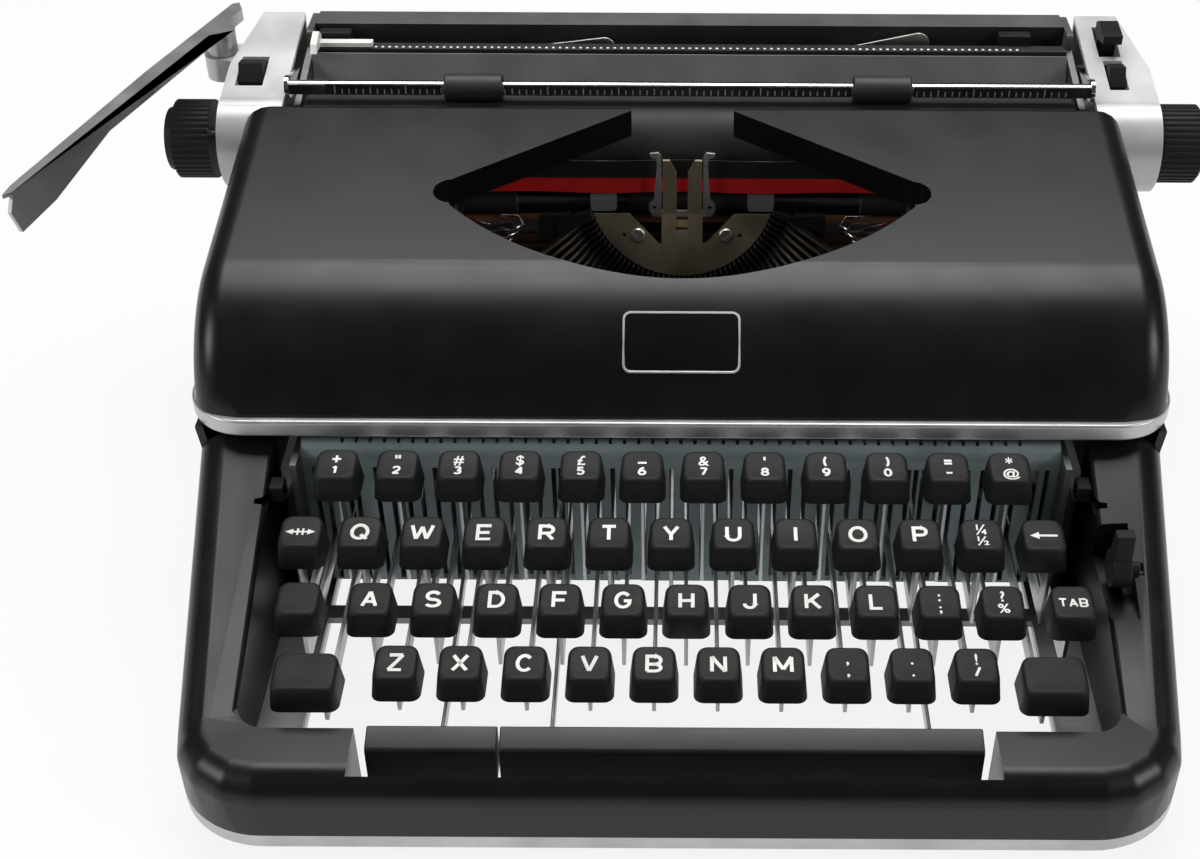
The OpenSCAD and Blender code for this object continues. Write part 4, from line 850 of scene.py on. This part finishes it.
def moulded_key(node, x, row, forward=0.0, size=(KEY_W, KEY_W)):
    """A key whose cap is moulded on its lever: the lever's own solid and a new cap on its seat."""
    y, top = row_place(row)
    form = bmesh.new()
    form.from_mesh(frame["nodes"][node].data)
    bmesh.ops.remove_doubles(form, verts=form.verts, dist=MERGE_DISTANCE)
    cut = sliced(form, (0, 0, top - KEY_H - SEAT_CUT), (0, 0, 1), clear_outer=True)
    edges = [e for e in cut["geom_cut"] if isinstance(e, bmesh.types.BMEdge)]
    bmesh.ops.holes_fill(form, edges=edges, sides=0)
    for face in form.faces:
        face.material_index = 1
    add_cap(form, x, y - forward, top, *size)
    piece = new_piece("soft_" + node, form, BODY_OF[node], ["key_plastic", "lever_steel"])
    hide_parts(node)
    return smoothed(piece, 50)


def steel_behind_bar(middle):
    """A rule that gives the second finish to the levers of a bar."""
    return 1 if middle.z < LEVERS_BELOW or middle.y > LEVERS_BEHIND else 0


class TYPEWRITER_OT_keys(Operator):
    """Mould the key caps and dress their levers and the bars"""

    bl_idname = "typewriter.keys"
    bl_label = "Keys"

    def execute(self, context):
        for row, legends in enumerate(ROW_LEGENDS):
            dressed(f"key_levers_row_{row + 1}", ["lever_steel"], 0.2, 2)
            caps = bmesh.new()
            y, top = row_place(row)
            for key in range(len(legends)):
                if (row, key) != (SINGLE_ROW, SINGLE_KEY):
                    add_cap(caps, (ROW_FIRST[row] + key) * KEY_PITCH, y, top)
            piece = new_piece(f"moulded_caps_row_{row + 1}", caps, f"row_{row + 1}_keys", ["key_plastic"])
            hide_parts(f"key_caps_row_{row + 1}")
            smoothed(piece, 50)
        moulded_key("key_h", (ROW_FIRST[SINGLE_ROW] + SINGLE_KEY) * KEY_PITCH, SINGLE_ROW)
        moulded_key("shift_lock_key", LOCK_X, HOME_ROW)
        moulded_key("tab_key", TAB_X, HOME_ROW)
        moulded_key("margin_release_key", MARGIN_KEY_X, UPPER_ROW)
        moulded_key("backspace_key", BACKSPACE_X, UPPER_ROW)
        moulded_key("shift_key_left", -SHIFT_X, LOWER_ROW, SHIFT_FORWARD, (SHIFT_W, SHIFT_D))
        moulded_key("shift_key_right", SHIFT_X, LOWER_ROW, SHIFT_FORWARD, (SHIFT_W, SHIFT_D))
        for node in ("space_bar", "repeat_bar"):
            dressed(node, ["bar_plastic", "lever_steel"], 0.8, 3, steel_behind_bar)
        return {"FINISHED"}


def stroke_sides(points, stroke, closed):
    """Left and right edge of a stroke of even thickness along points."""
    count = len(points)
    left, right = [], []
    for i, point in enumerate(points):
        here = Vector(point)
        before = Vector(points[i - 1]) if closed or i > 0 else here
        after = Vector(points[(i + 1) % count]) if closed or i < count - 1 else here
        arrive = (here - before).normalized() if i > 0 or closed else (after - here).normalized()
        leave = (after - here).normalized() if i < count - 1 or closed else arrive
        middle = (arrive + leave).normalized()
        aside = Vector((-middle.y, middle.x))
        reach = stroke / 2 / max(aside.dot(Vector((-arrive.y, arrive.x))), SHARPEST_CORNER)
        left.append(here + aside * reach)
        right.append(here - aside * reach)
    return left, right


def stroke_band(form, points, stroke, relief):
    """A raised stroke along points. A line that comes back to its start is a closed ring."""
    closed = (Vector(points[0]) - Vector(points[-1])).length < 1e-7
    line = points[:-1] if closed else points
    left, right = stroke_sides(line, stroke, closed)
    rings = []
    for a, b in zip(left, right):
        section = ((b, -relief), (b, relief), (a, relief), (a, -relief))
        rings.append([form.verts.new((p.x, p.y, z)) for p, z in section])
    if closed:
        bridged(form, rings + rings[:1])
    else:
        bridged(form, rings)
        form.faces.new(rings[0])
        form.faces.new(list(reversed(rings[-1])))


def cut_at_corners(points):
    """The line cut where it turns back sharply, so that each of its strokes keeps its width."""
    parts = [[points[0]]]
    for before, here, after in zip(points, points[1:], points[2:]):
        parts[-1].append(here)
        arrive = (Vector(here) - Vector(before)).normalized()
        leave = (Vector(after) - Vector(here)).normalized()
        if arrive.dot(leave) < TURNS_BACK:
            parts.append([here])
    parts[-1].append(points[-1])
    return parts


def stroke_letter(form, letter, left, base, height, stroke, relief):
    """One capital or figure from its pen strokes. The result is its width."""
    share, lines = GLYPHS[letter]
    wide = share * (height - stroke)
    for line in lines:
        points = [(left + stroke / 2 + u * wide, base + stroke / 2 + v * (height - stroke)) for u, v in line]
        for part in cut_at_corners(points):
            stroke_band(form, part, stroke, relief)
    return wide + stroke


def stroke_word(text, base, height, stroke, relief):
    """A word or a single letter, its middle on the Y axis."""
    form = bmesh.new()
    gap = stroke * LETTER_GAP
    wide = sum(GLYPHS[c][0] * (height - stroke) + stroke for c in text) + gap * (len(text) - 1)
    left = -wide / 2
    for letter in text:
        left += stroke_letter(form, letter, left, base, height, stroke, relief) + gap
    return outward(form)


def printed_mark(mark, base, height, relief):
    """A mark that has no strokes of its own here, from the built-in lettering."""
    curve = bpy.data.curves.new("lettering", "FONT")
    curve.body = mark
    curve.size = height / CAPITAL_SHARE
    curve.align_x = "CENTER"
    curve.align_y = "TOP_BASELINE"
    curve.offset = MARK_BOLD
    curve.extrude = relief
    curve.resolution_u = 5
    carrier = bpy.data.objects.new("lettering", curve)
    bpy.context.scene.collection.objects.link(carrier)
    bpy.context.view_layer.update()
    shown = carrier.evaluated_get(bpy.context.evaluated_depsgraph_get())
    mesh = bpy.data.meshes.new_from_object(shown)
    form = bmesh.new()
    form.from_mesh(mesh)
    bmesh.ops.remove_doubles(form, verts=form.verts, dist=0.002 * MM)
    bmesh.ops.translate(form, vec=(0, base, 0), verts=form.verts)
    bpy.data.objects.remove(carrier)
    bpy.data.curves.remove(curve)
    bpy.data.meshes.remove(mesh)
    return form


def laid_in_dish(form, x, y, top, relief):
    """Bends flat lettering onto the dished top of a key."""
    reach = max(abs(v.co.y) for v in form.verts)
    steps = int(reach / DISH_CUT) + 1
    for step in range(-steps, steps + 1):
        sliced(form, (0, step * DISH_CUT, 0), (0, 1, 0))
    for vert in form.verts:
        lift = vert.co.z if vert.co.z > 0 else -relief
        vert.co.x += x
        vert.co.y = y + vert.co.y * math.cos(KEY_TILT)
        vert.co.z = dish_height(vert.co.y, y, top) + lift
    return form


def joined(target, form):
    """Adds one form to another."""
    mesh = bpy.data.meshes.new("joining")
    form.to_mesh(mesh)
    form.free()
    target.from_mesh(mesh)
    bpy.data.meshes.remove(mesh)


def key_legend(marks, x, row, details):
    """The legend of one key: a capital, or a mark above another."""
    y, top = row_place(row)
    relief = details.letter_relief
    tall = details.letter_height
    if len(marks) == 1:
        lines = [(marks, -tall / 2, tall, details.letter_stroke)]
    else:
        tall = details.pair_height
        lines = [(marks[0], PAIR_GAP, tall, details.pair_stroke),
                 (marks[1], -tall - PAIR_GAP, tall, details.pair_stroke)]
    whole = bmesh.new()
    for mark, base, height, stroke in lines:
        if mark in GLYPHS:
            joined(whole, stroke_word(mark, base, height, stroke, relief))
        else:
            joined(whole, printed_mark(mark, base, height, relief))
    return laid_in_dish(whole, x, y, top, relief)


def flat_shape(outlines, relief):
    """Closed outlines in millimetres as thin raised shapes."""
    form = bmesh.new()
    for outline in outlines:
        rings = [[form.verts.new((u * MM, v * MM, z)) for u, v in outline] for z in (-relief, relief)]
        closed_form(form, rings)
    return form


def arrow_head(tip, back, half):
    """A triangle that points along X."""
    corners = [(tip, 0), (back, half), (back, -half)]
    return corners if tip < back else list(reversed(corners))


def arrow_bar(x0, x1, half):
    """A rectangle about the X axis."""
    return [(x0, -half), (x1, -half), (x1, half), (x0, half)]


# Arrows of the backspace and the margin release, in millimetres
BACK_ARROW = (arrow_head(-4.2, -1.4, 1.4), arrow_bar(-1.5, 4.2, 0.4))
MARGIN_ARROWS = (arrow_head(-4.6, -2.2, 1.1), arrow_head(4.6, 2.2, 1.1), arrow_bar(-2.3, 2.3, 0.3),
                 arrow_bar(-1.1, -0.5, 1.3), arrow_bar(0.5, 1.1, 1.3))


def single_legend(label, form, x, row, relief):
    """The legend of a function key."""
    y, top = row_place(row)
    new_piece(f"legend_{label}", laid_in_dish(form, x, y, top, relief), f"{label}_key", ["legend_white"])


class TYPEWRITER_OT_legends(Operator):
    """Letter the keys"""

    bl_idname = "typewriter.legends"
    bl_label = "Key legends"

    def execute(self, context):
        details = context.scene.typewriter_details
        relief = details.letter_relief
        for row, legends in enumerate(ROW_LEGENDS):
            whole = bmesh.new()
            for place, marks in enumerate(legends):
                x = (ROW_FIRST[row] + place) * KEY_PITCH
                form = key_legend(marks, x, row, details)
                if row == SINGLE_ROW and place == SINGLE_KEY:
                    new_piece("legend_h", form, "key_h", ["legend_white"])
                else:
                    joined(whole, form)
            new_piece(f"legends_row_{row + 1}", whole, f"row_{row + 1}_keys", ["legend_white"])
        single_legend("backspace", flat_shape(BACK_ARROW, relief), BACKSPACE_X, UPPER_ROW, relief)
        arrows = flat_shape(MARGIN_ARROWS, relief)
        single_legend("margin_release", arrows, MARGIN_KEY_X, UPPER_ROW, relief)
        tab = stroke_word("TAB", -TAB_HEIGHT / 2, TAB_HEIGHT, TAB_STROKE, relief)
        single_legend("tab", tab, TAB_X, HOME_ROW, relief)
        return {"FINISHED"}


def swept_strip(path, low, high, thickness, wave):
    """A thin upright strip along a path in plan. wave gives its lift for a place along the path."""
    form = bmesh.new()
    rings = []
    for i, point in enumerate(path):
        before = path[max(i - 1, 0)]
        after = path[min(i + 1, len(path) - 1)]
        along = (Vector(after) - Vector(before)).normalized()
        aside = Vector((-along.y, along.x)) * thickness / 2
        lift = wave(i / (len(path) - 1))
        rings.append([form.verts.new((point[0] + s * aside.x, point[1] + s * aside.y, z + lift))
                      for s, z in ((-1, low), (1, low), (1, high), (-1, high))])
    return closed_form(form, rings)


class TYPEWRITER_OT_ribbon(Operator):
    """Thread the ribbon from spool to spool"""

    bl_idname = "typewriter.ribbon"
    bl_label = "Ribbon"

    def execute(self, context):
        half = [(x * POST_X / SPAN_STEPS, RIBBON_Y) for x in range(SPAN_STEPS + 1)]
        corner = [(POST_X + POST_BEND * math.sin(a), RIBBON_Y - POST_BEND * (1 - math.cos(a)))
                  for a in POST_TURNS]
        leave = Vector(corner[-1])
        run = [tuple(leave.lerp(PACK_TOUCH, t / RUN_STEPS)) for t in range(1, RUN_STEPS + 1)]
        right = half + corner + run
        path = [(-x, y) for x, y in reversed(right[1:])] + right

        def wave(t):
            return RIBBON_WAVE * math.sin(RIBBON_WAVES * math.pi * t) * math.sin(math.pi * t)

        form = swept_strip(path, RIBBON_LOW, RIBBON_LOW + RIBBON_H, RIBBON_T, wave)
        piece = new_piece("inked_ribbon", form, BODY_OF["ribbon"], ["ribbon_cloth"])
        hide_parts("ribbon")
        smoothed(piece, 50)
        return {"FINISHED"}


def rounded_outline(width, height, corner, steps=6):
    """Points round a rectangle with round corners."""
    points = []
    for quarter, (sx, sy) in enumerate(((1, 1), (-1, 1), (-1, -1), (1, -1))):
        for i in range(steps + 1):
            a = math.pi / 2 * (quarter + i / steps)
            points.append((sx * (width / 2 - corner) + corner * math.cos(a),
                           sy * (height / 2 - corner) + corner * math.sin(a)))
    return points


def on_shoulder(u, v, lift):
    """A point over the cover's round shoulder: u sideways, v up along it, lift out of it."""
    angle = BADGE_ANGLE + v / SHOULDER_R
    reach = SHOULDER_R + lift
    return (u, SHOULDER_Y - reach * math.cos(angle), SHOULDER_Z + reach * math.sin(angle))


def bent_ring_stack(levels):
    """A plate on the shoulder from outlines of the same count, each with its lift, from outside in."""
    form = bmesh.new()
    rings = [[form.verts.new(on_shoulder(u, v, lift)) for u, v in outline] for outline, lift in levels]
    bridged(form, rings)
    return form, rings


def face_field(form, ring, lift, rows):
    """Fills a ring on the shoulder with faces that follow its bend."""
    bmesh.ops.triangulate(form, faces=[form.faces.new(ring)])
    span = max(v.co.z for v in ring) - min(v.co.z for v in ring)
    for i in range(1, rows):
        angle = BADGE_ANGLE + (i / rows - 0.5) * span * FIELD_REACH / SHOULDER_R
        point = (0, SHOULDER_Y - SHOULDER_R * math.cos(angle), SHOULDER_Z + SHOULDER_R * math.sin(angle))
        sliced(form, point, (0, math.sin(angle), math.cos(angle)))
    for vert in form.verts:
        offset = Vector((vert.co.y - SHOULDER_Y, vert.co.z - SHOULDER_Z))
        if offset.length < SHOULDER_R + lift - BEND_TOLERANCE:
            scaled = offset.normalized() * (SHOULDER_R + lift)
            vert.co.y = SHOULDER_Y + scaled.x
            vert.co.z = SHOULDER_Z + scaled.y


class TYPEWRITER_OT_badge(Operator):
    """Fix the bare badge plate on the cover"""

    bl_idname = "typewriter.badge"
    bl_label = "Badge plate"

    def execute(self, context):
        details = context.scene.typewriter_details

        def outline(inset):
            return rounded_outline(details.badge_width - 2 * inset, details.badge_height - 2 * inset,
                                   BADGE_CORNER - inset * CORNER_SHARE)

        border, rings = bent_ring_stack([(outline(inset * MM), lift * MM) for inset, lift in BADGE_SECTION])
        bridged(border, [rings[-1], rings[0]])
        smoothed(new_piece("badge_border", outward(border), "cover", ["satin_aluminium"]), 35)
        edge = outline(FIELD_INSET)
        field, rings = bent_ring_stack([(edge, BADGE_FOOT), (edge, FIELD_LIFT)])
        face_field(field, rings[-1], FIELD_LIFT, FIELD_ROWS)
        smoothed(new_piece("badge_field", outward(field), "cover", ["badge_black"]), 35)
        return {"FINISHED"}


def dark_strip(middle):
    """A rule that gives the scale strip of the paper bail the second finish, but not its bare left end."""
    along = middle.x - CARRIAGE_X
    beside_rollers = min(abs(along - x) for x in ROLLER_X) > ROLLER_HALF - ROLLER_LAP
    on_strip = BARE_STRIP_END < middle.x < CARRIAGE_X + BAIL_ARM_IN and beside_rollers
    return 1 if on_strip and middle.y < STRIP_FACE else 0


def bar_of_frame(middle):
    """A rule that gives the carriage's runner bars the second finish."""
    return 1 if abs(middle.x - CARRIAGE_X) < RUNNER_HALF and middle.z < RUNNER_TOP else 0


def rear_end_plate(side, top):
    """An end plate of the rear cover, a little inside its edges."""
    outline = rounded_outline(REAR_BACK - REAR_END_FRONT, top - REAR_END_LOW, REAR_END_CORNER, 4)
    y = (REAR_BACK + REAR_END_FRONT) / 2 - REAR_END_INSET
    z = (top + REAR_END_LOW) / 2 - REAR_END_INSET
    ends = sorted((CARRIAGE_X + side * REAR_END_IN, CARRIAGE_X + side * REAR_END_OUT))
    return plate_between(*[[(x, y + u, z + v) for u, v in outline] for x in ends])


class TYPEWRITER_OT_carriage(Operator):
    """Dress the carriage and what it carries"""

    bl_idname = "typewriter.carriage"
    bl_label = "Carriage"

    def execute(self, context):
        dressed("carriage_frame", ["frame_steel", "rail_brown"], 0.3, 2, bar_of_frame)
        for node in ("end_cover_left", "end_cover_right"):
            dressed(node, ["satin_aluminium"], 1.2, 3)
        # Painted sheen: the black paper table gets a lighter grey in place of its reflection.
        dressed("paper_table", ["paper_table_sheen_grey"], 0.2, 2)
        rear_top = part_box("carriage_rear_cover")[1].z

        # Painted light and shade: top and back faces of the rear cover take the lighter grey, the faces in
        # its recess take black.
        def shaded_inside_rear(middle):
            outer = middle.z > rear_top - FACE_MARGIN or middle.y > REAR_BACK - FACE_MARGIN
            return 0 if outer else 1

        dressed("carriage_rear_cover", ["rear_cover_lit_grey", "black_metal"], 0.5, 3, shaded_inside_rear)
        # The end plates of the rear cover take the same painted lit grey.
        for label, side in (("left", -1), ("right", 1)):
            form = rear_end_plate(side, rear_top)
            new_piece(f"rear_cover_end_{label}", form, "carriage", ["rear_cover_lit_grey"])
        dressed("margin_rail", ["black_metal"], 0.15, 1)
        for node in ("margin_stop_left", "margin_stop_right", "carriage_release_tabs", "paper_release_lever"):
            dressed(node, ["key_plastic"], 0.7)
        dressed("paper_guide", ["white_plastic"], 0.4)
        for node in ("paper_support_left", "paper_support_right"):
            dressed(node, ["nickel"], 0.2, 2)
        for node in ("feed_roller_front", "feed_roller_rear"):
            low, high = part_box(node)
            y, z = (low.y + high.y) / 2, (low.z + high.z) / 2
            dressed(node, ["rubber", "frame_steel"], 0.3, 2,
                    lambda middle, y=y, z=z: 0 if turned_out(middle, y, z, FEED_SHAFT_R) else 1)
        dressed("platen", ["rubber"], 0.6)
        dressed("platen_shaft", ["chrome"], 0.5)
        for node in ("platen_knob_left", "platen_knob_right"):
            dressed(node, ["key_plastic"], 0.25, 2)
        dressed("paper_bail", ["chrome", "black_metal"], 0.25, 2, dark_strip, BARE_STRIP_END)
        dressed("bail_rollers", ["rubber"], 0.9)
        dressed("return_lever", ["return_steel"], 0.4, 2)
        return {"FINISHED"}


def box_marks(boxes):
    """Many small blocks in one form, each from its low and high corner."""
    form = bmesh.new()
    for low, high in boxes:
        corners = [form.verts.new((x, y, z)) for z in (low[2], high[2]) for y in (low[1], high[1])
                   for x in (low[0], high[0])]
        for ring in ((0, 2, 3, 1), (4, 5, 7, 6), (0, 1, 5, 4), (2, 6, 7, 3), (0, 4, 6, 2), (1, 3, 7, 5)):
            form.faces.new([corners[i] for i in ring])
    return form


class TYPEWRITER_OT_scales(Operator):
    """Mark the scales of the paper bail and the margin rail"""

    bl_idname = "typewriter.scales"
    bl_label = "Scales"

    def execute(self, context):
        marks = []
        for i in BAIL_MARKS:
            along = i * SCALE_PITCH
            if min(abs(along - roller) for roller in ROLLER_X) < ROLLER_HALF:
                continue
            x = CARRIAGE_X + along
            tall = TENTH_MARK if i % 10 == 0 else (FIFTH_MARK if i % 5 == 0 else PLAIN_MARK)
            marks.append(((x - MARK_HALF, MARK_FRONT, MARK_FOOT),
                          (x + MARK_HALF, MARK_BACK, MARK_FOOT + tall)))
        new_piece("bail_scale_marks", box_marks(marks), "paper_bail", ["scale_grey"])
        dots = []
        for i in MARGIN_DOTS:
            x = CARRIAGE_X + i * SCALE_PITCH
            dots.append(((x - DOT_HALF, DOT_FRONT, DOT_FOOT), (x + DOT_HALF, DOT_BACK, DOT_TOP)))
        new_piece("margin_scale_marks", box_marks(dots), "carriage", ["legend_white"])
        return {"FINISHED"}


def in_arc(x, y, z):
    """A point of the type basket's tilted plane in the frame."""
    return ARC + Matrix.Rotation(ARC_TILT, 3, "X") @ Vector((x, y, z))


def turned_profile(profile, count=28):
    """A solid turned about Z from radius and height pairs that start and end on the axis."""
    form = bmesh.new()
    turns = [2 * math.pi * i / count for i in range(count)]
    rings = []
    for radius, height in profile:
        if radius < 1e-9:
            rings.append([form.verts.new((0, 0, height))])
        else:
            circle = [(radius * math.cos(a), radius * math.sin(a), height) for a in turns]
            rings.append([form.verts.new(spot) for spot in circle])
    for a, b in zip(rings, rings[1:]):
        for i in range(count):
            j = (i + 1) % count
            if len(a) == 1:
                form.faces.new((a[0], b[j], b[i]))
            elif len(b) == 1:
                form.faces.new((a[i], a[j], b[0]))
            else:
                form.faces.new((a[i], a[j], b[j], b[i]))
    return outward(form)


def cut_slot(piece, width, depth, top):
    """A screwdriver's slot across the head of a screw, cut for good."""
    form = bmesh.new()
    bmesh.ops.create_cube(form, size=1)
    bmesh.ops.scale(form, vec=(SLOT_LENGTH, width, 2 * depth), verts=form.verts)
    bmesh.ops.translate(form, vec=(0, 0, top), verts=form.verts)
    cutter = new_object("slot_cutter", form, [])
    cut = piece.modifiers.new("slot", "BOOLEAN")
    cut.operation = "DIFFERENCE"
    cut.object = cutter
    cut.solver = "EXACT"
    bpy.context.view_layer.update()
    shown = piece.evaluated_get(bpy.context.evaluated_depsgraph_get())
    finished = bpy.data.meshes.new_from_object(shown)
    piece.modifiers.clear()
    piece.data = finished
    bpy.data.meshes.remove(cutter.data)


def slotted_screw(name, place, turn, radius, body):
    """A slotted cheese-head screw on a tilted face."""
    shank = radius * SHANK_SHARE
    side = SCREW_HEAD * HEAD_SIDE_SHARE
    form = turned_profile([(0, SCREW_FOOT), (shank, SCREW_FOOT), (shank, 0), (radius, 0), (radius, side),
                           (radius * HEAD_TOP_SHARE, SCREW_HEAD), (0, SCREW_HEAD)])
    screw = new_object(name, form, ["nickel"])
    cut_slot(screw, radius * SLOT_WIDTH_SHARE, SCREW_HEAD * SLOT_DEPTH_SHARE, SCREW_HEAD)
    screw.data.transform(Matrix.Translation(place) @ turn.to_4x4())
    smoothed(screw, 30)
    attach(screw, body)
    return screw


def bent_wire(points, radius, count=10):
    """A round wire along points, with closed ends."""
    form = bmesh.new()
    turns = [2 * math.pi * k / count for k in range(count)]
    circle = [(radius * math.cos(a), radius * math.sin(a), 0) for a in turns]
    rings = []
    for i, point in enumerate(points):
        before = Vector(points[max(i - 1, 0)])
        after = Vector(points[min(i + 1, len(points) - 1)])
        turn = (after - before).to_track_quat("Z", "Y")
        rings.append([form.verts.new(Vector(point) + turn @ Vector(spot)) for spot in circle])
    return closed_form(form, rings)


def card_holder(side):
    """A clear card holder between ribbon and platen: an upright plate with a rounded outline."""
    outline = rounded_outline(CARD_W, CARD_TOP - CARD_LOW, CARD_CORNER, 4)
    middle = (CARD_LOW + CARD_TOP) / 2
    return plate_between(*[[(side * CARD_X + u, y, middle + v) for u, v in outline]
                           for y in (CARD_Y, CARD_Y + CARD_T)])


def feeler_path(side, lift):
    """Points of a bent wire that feels the ribbon beside a guide post."""
    return [(side * (x * MM + lift * FEELER_OUT), y * MM - lift, z * MM - lift * FEELER_DOWN)
            for x, y, z in FEELER_BENDS]


class TYPEWRITER_OT_fittings(Operator):
    """Add the screws of the type guide, the card holders and the ribbon's feelers"""

    bl_idname = "typewriter.fittings"
    bl_label = "Small fittings"

    def execute(self, context):
        tilt = Matrix.Rotation(ARC_TILT, 3, "X")
        for side, label in ((-1, "left"), (1, "right")):
            turn = tilt @ Matrix.Rotation(side * SCREW_TURN, 3, "Z")
            place = in_arc(side * GUIDE_SCREW_X, GUIDE_SCREW_Y, GUIDE_T)
            slotted_screw(f"guide_screw_{label}", place, turn, GUIDE_SCREW_R, "base")
            card = card_holder(side)
            smoothed(new_piece(f"card_holder_{label}", card, "base", ["clear_card"]), 30)
            wires = bmesh.new()
            for lift in FEELER_LIFTS:
                joined(wires, bent_wire(feeler_path(side, lift), FEELER_R))
            smoothed(new_piece(f"ribbon_feelers_{label}", wires, "base", ["chrome"]), 60)
        return {"FINISHED"}


def softbox(name, place, aim, size, power):
    """A rectangular lamp that points at a place."""
    lamp = bpy.data.lights.new(name, "AREA")
    lamp.shape = "RECTANGLE"
    lamp.size, lamp.size_y = size
    lamp.energy = power
    holder = bpy.data.objects.new(name, lamp)
    holder.location = place
    holder.rotation_euler = (Vector(aim) - Vector(place)).to_track_quat("-Z", "Y").to_euler()
    bpy.context.scene.collection.objects.link(holder)


def white_table():
    """A table top that looks white to the camera and in reflections, and keeps its shadows."""
    material = bpy.data.materials.new("white_table")
    material.use_nodes = True
    tree = material.node_tree
    tree.nodes.clear()
    base = shader_node(tree, "ShaderNodeBsdfDiffuse")
    base.inputs["Color"].default_value = (TABLE_WHITE, TABLE_WHITE, TABLE_WHITE, 1)
    glow = shader_node(tree, "ShaderNodeEmission")
    path = shader_node(tree, "ShaderNodeLightPath")
    rays = maths(tree, "MAXIMUM", path.outputs["Is Camera Ray"], path.outputs["Is Glossy Ray"])
    rays = maths(tree, "MAXIMUM", rays, path.outputs["Is Transmission Ray"])
    mix = shader_node(tree, "ShaderNodeMixShader")
    tree.links.new(maths(tree, "MULTIPLY", rays, WHITE_SHARE), mix.inputs["Fac"])
    tree.links.new(base.outputs["BSDF"], mix.inputs[1])
    tree.links.new(glow.outputs["Emission"], mix.inputs[2])
    end = shader_node(tree, "ShaderNodeOutputMaterial")
    tree.links.new(mix.outputs["Shader"], end.inputs["Surface"])
    return material


class TYPEWRITER_OT_stage(Operator):
    """Set the table, the lamps and the camera"""

    bl_idname = "typewriter.stage"
    bl_label = "Stage"

    def execute(self, context):
        scene = context.scene
        stage = scene.typewriter_stage
        form = bmesh.new()
        bmesh.ops.create_grid(form, x_segments=4, y_segments=4, size=TABLE_HALF)
        table = new_object("table_top", form, [])
        table.data.materials.append(white_table())
        softbox("softbox_top", TOP_LAMP_PLACE, LAMP_AIM, TOP_LAMP_SIZE, stage.top_light)
        for label, side in (("left", -1), ("right", 1)):
            place = SIDE_LAMP_PLACE * Vector((side, 1, 1))
            softbox(f"softbox_{label}", place, LAMP_AIM, SIDE_LAMP_SIZE, stage.side_light)
        world = bpy.data.worlds.new("room")
        world.use_nodes = True
        room = world.node_tree.nodes["Background"]
        room.inputs["Color"].default_value = (1, 1, 1, 1)
        room.inputs["Strength"].default_value = stage.room_light
        scene.world = world
        lens = bpy.data.cameras.new("camera")
        lens.lens = stage.lens
        lens.sensor_width = SENSOR_W
        lens.shift_x = stage.camera_shift
        lens.clip_start = NEAREST_SEEN
        camera = bpy.data.objects.new("camera", lens)
        camera.location = (0, -stage.camera_back, stage.camera_high)
        look_down = Matrix.Rotation(math.pi / 2 - stage.camera_pitch, 3, "X")
        camera.rotation_euler = (look_down @ Matrix.Rotation(stage.camera_roll, 3, "Z")).to_euler()
        scene.collection.objects.link(camera)
        scene.camera = camera
        scene.view_settings.view_transform = "Standard"
        return {"FINISHED"}


class TYPEWRITER_PT_panel(Panel):
    """Sizes, colours and steps of the typewriter"""

    bl_idname = "TYPEWRITER_PT_panel"
    bl_label = "Typewriter"
    bl_space_type = "VIEW_3D"
    bl_region_type = "UI"
    bl_category = "Typewriter"

    def draw(self, context):
        layout = self.layout
        for settings in (context.scene.typewriter_finishes, context.scene.typewriter_details,
                         context.scene.typewriter_stage):
            box = layout.box()
            for name in settings.__annotations__:
                box.prop(settings, name)
        for step in STEPS:
            layout.operator(step.bl_idname)


STEPS = (
    TYPEWRITER_OT_housing,
    TYPEWRITER_OT_works,
    TYPEWRITER_OT_keys,
    TYPEWRITER_OT_legends,
    TYPEWRITER_OT_ribbon,
    TYPEWRITER_OT_badge,
    TYPEWRITER_OT_carriage,
    TYPEWRITER_OT_scales,
    TYPEWRITER_OT_fittings,
    TYPEWRITER_OT_stage,
)
CLASSES = (TypewriterFinishes, TypewriterDetails, TypewriterStage, *STEPS, TYPEWRITER_PT_panel)


def register():
    """Registers the classes and the settings of the scene."""
    for each in CLASSES:
        bpy.utils.register_class(each)
    bpy.types.Scene.typewriter_finishes = PointerProperty(type=TypewriterFinishes)
    bpy.types.Scene.typewriter_details = PointerProperty(type=TypewriterDetails)
    bpy.types.Scene.typewriter_stage = PointerProperty(type=TypewriterStage)


def unregister():
    """Takes the settings and the classes out again."""
    del bpy.types.Scene.typewriter_stage
    del bpy.types.Scene.typewriter_details
    del bpy.types.Scene.typewriter_finishes
    for each in reversed(CLASSES):
        bpy.utils.unregister_class(each)


def main():
    """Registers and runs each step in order."""
    register()
    build_finishes(bpy.context.scene.typewriter_finishes)
    bpy.ops.typewriter.housing()
    bpy.ops.typewriter.works()
    bpy.ops.typewriter.keys()
    bpy.ops.typewriter.legends()
    bpy.ops.typewriter.ribbon()
    bpy.ops.typewriter.badge()
    bpy.ops.typewriter.carriage()
    bpy.ops.typewriter.scales()
    bpy.ops.typewriter.fittings()
    bpy.ops.typewriter.stage()


if __name__ == "__main__":
    main()
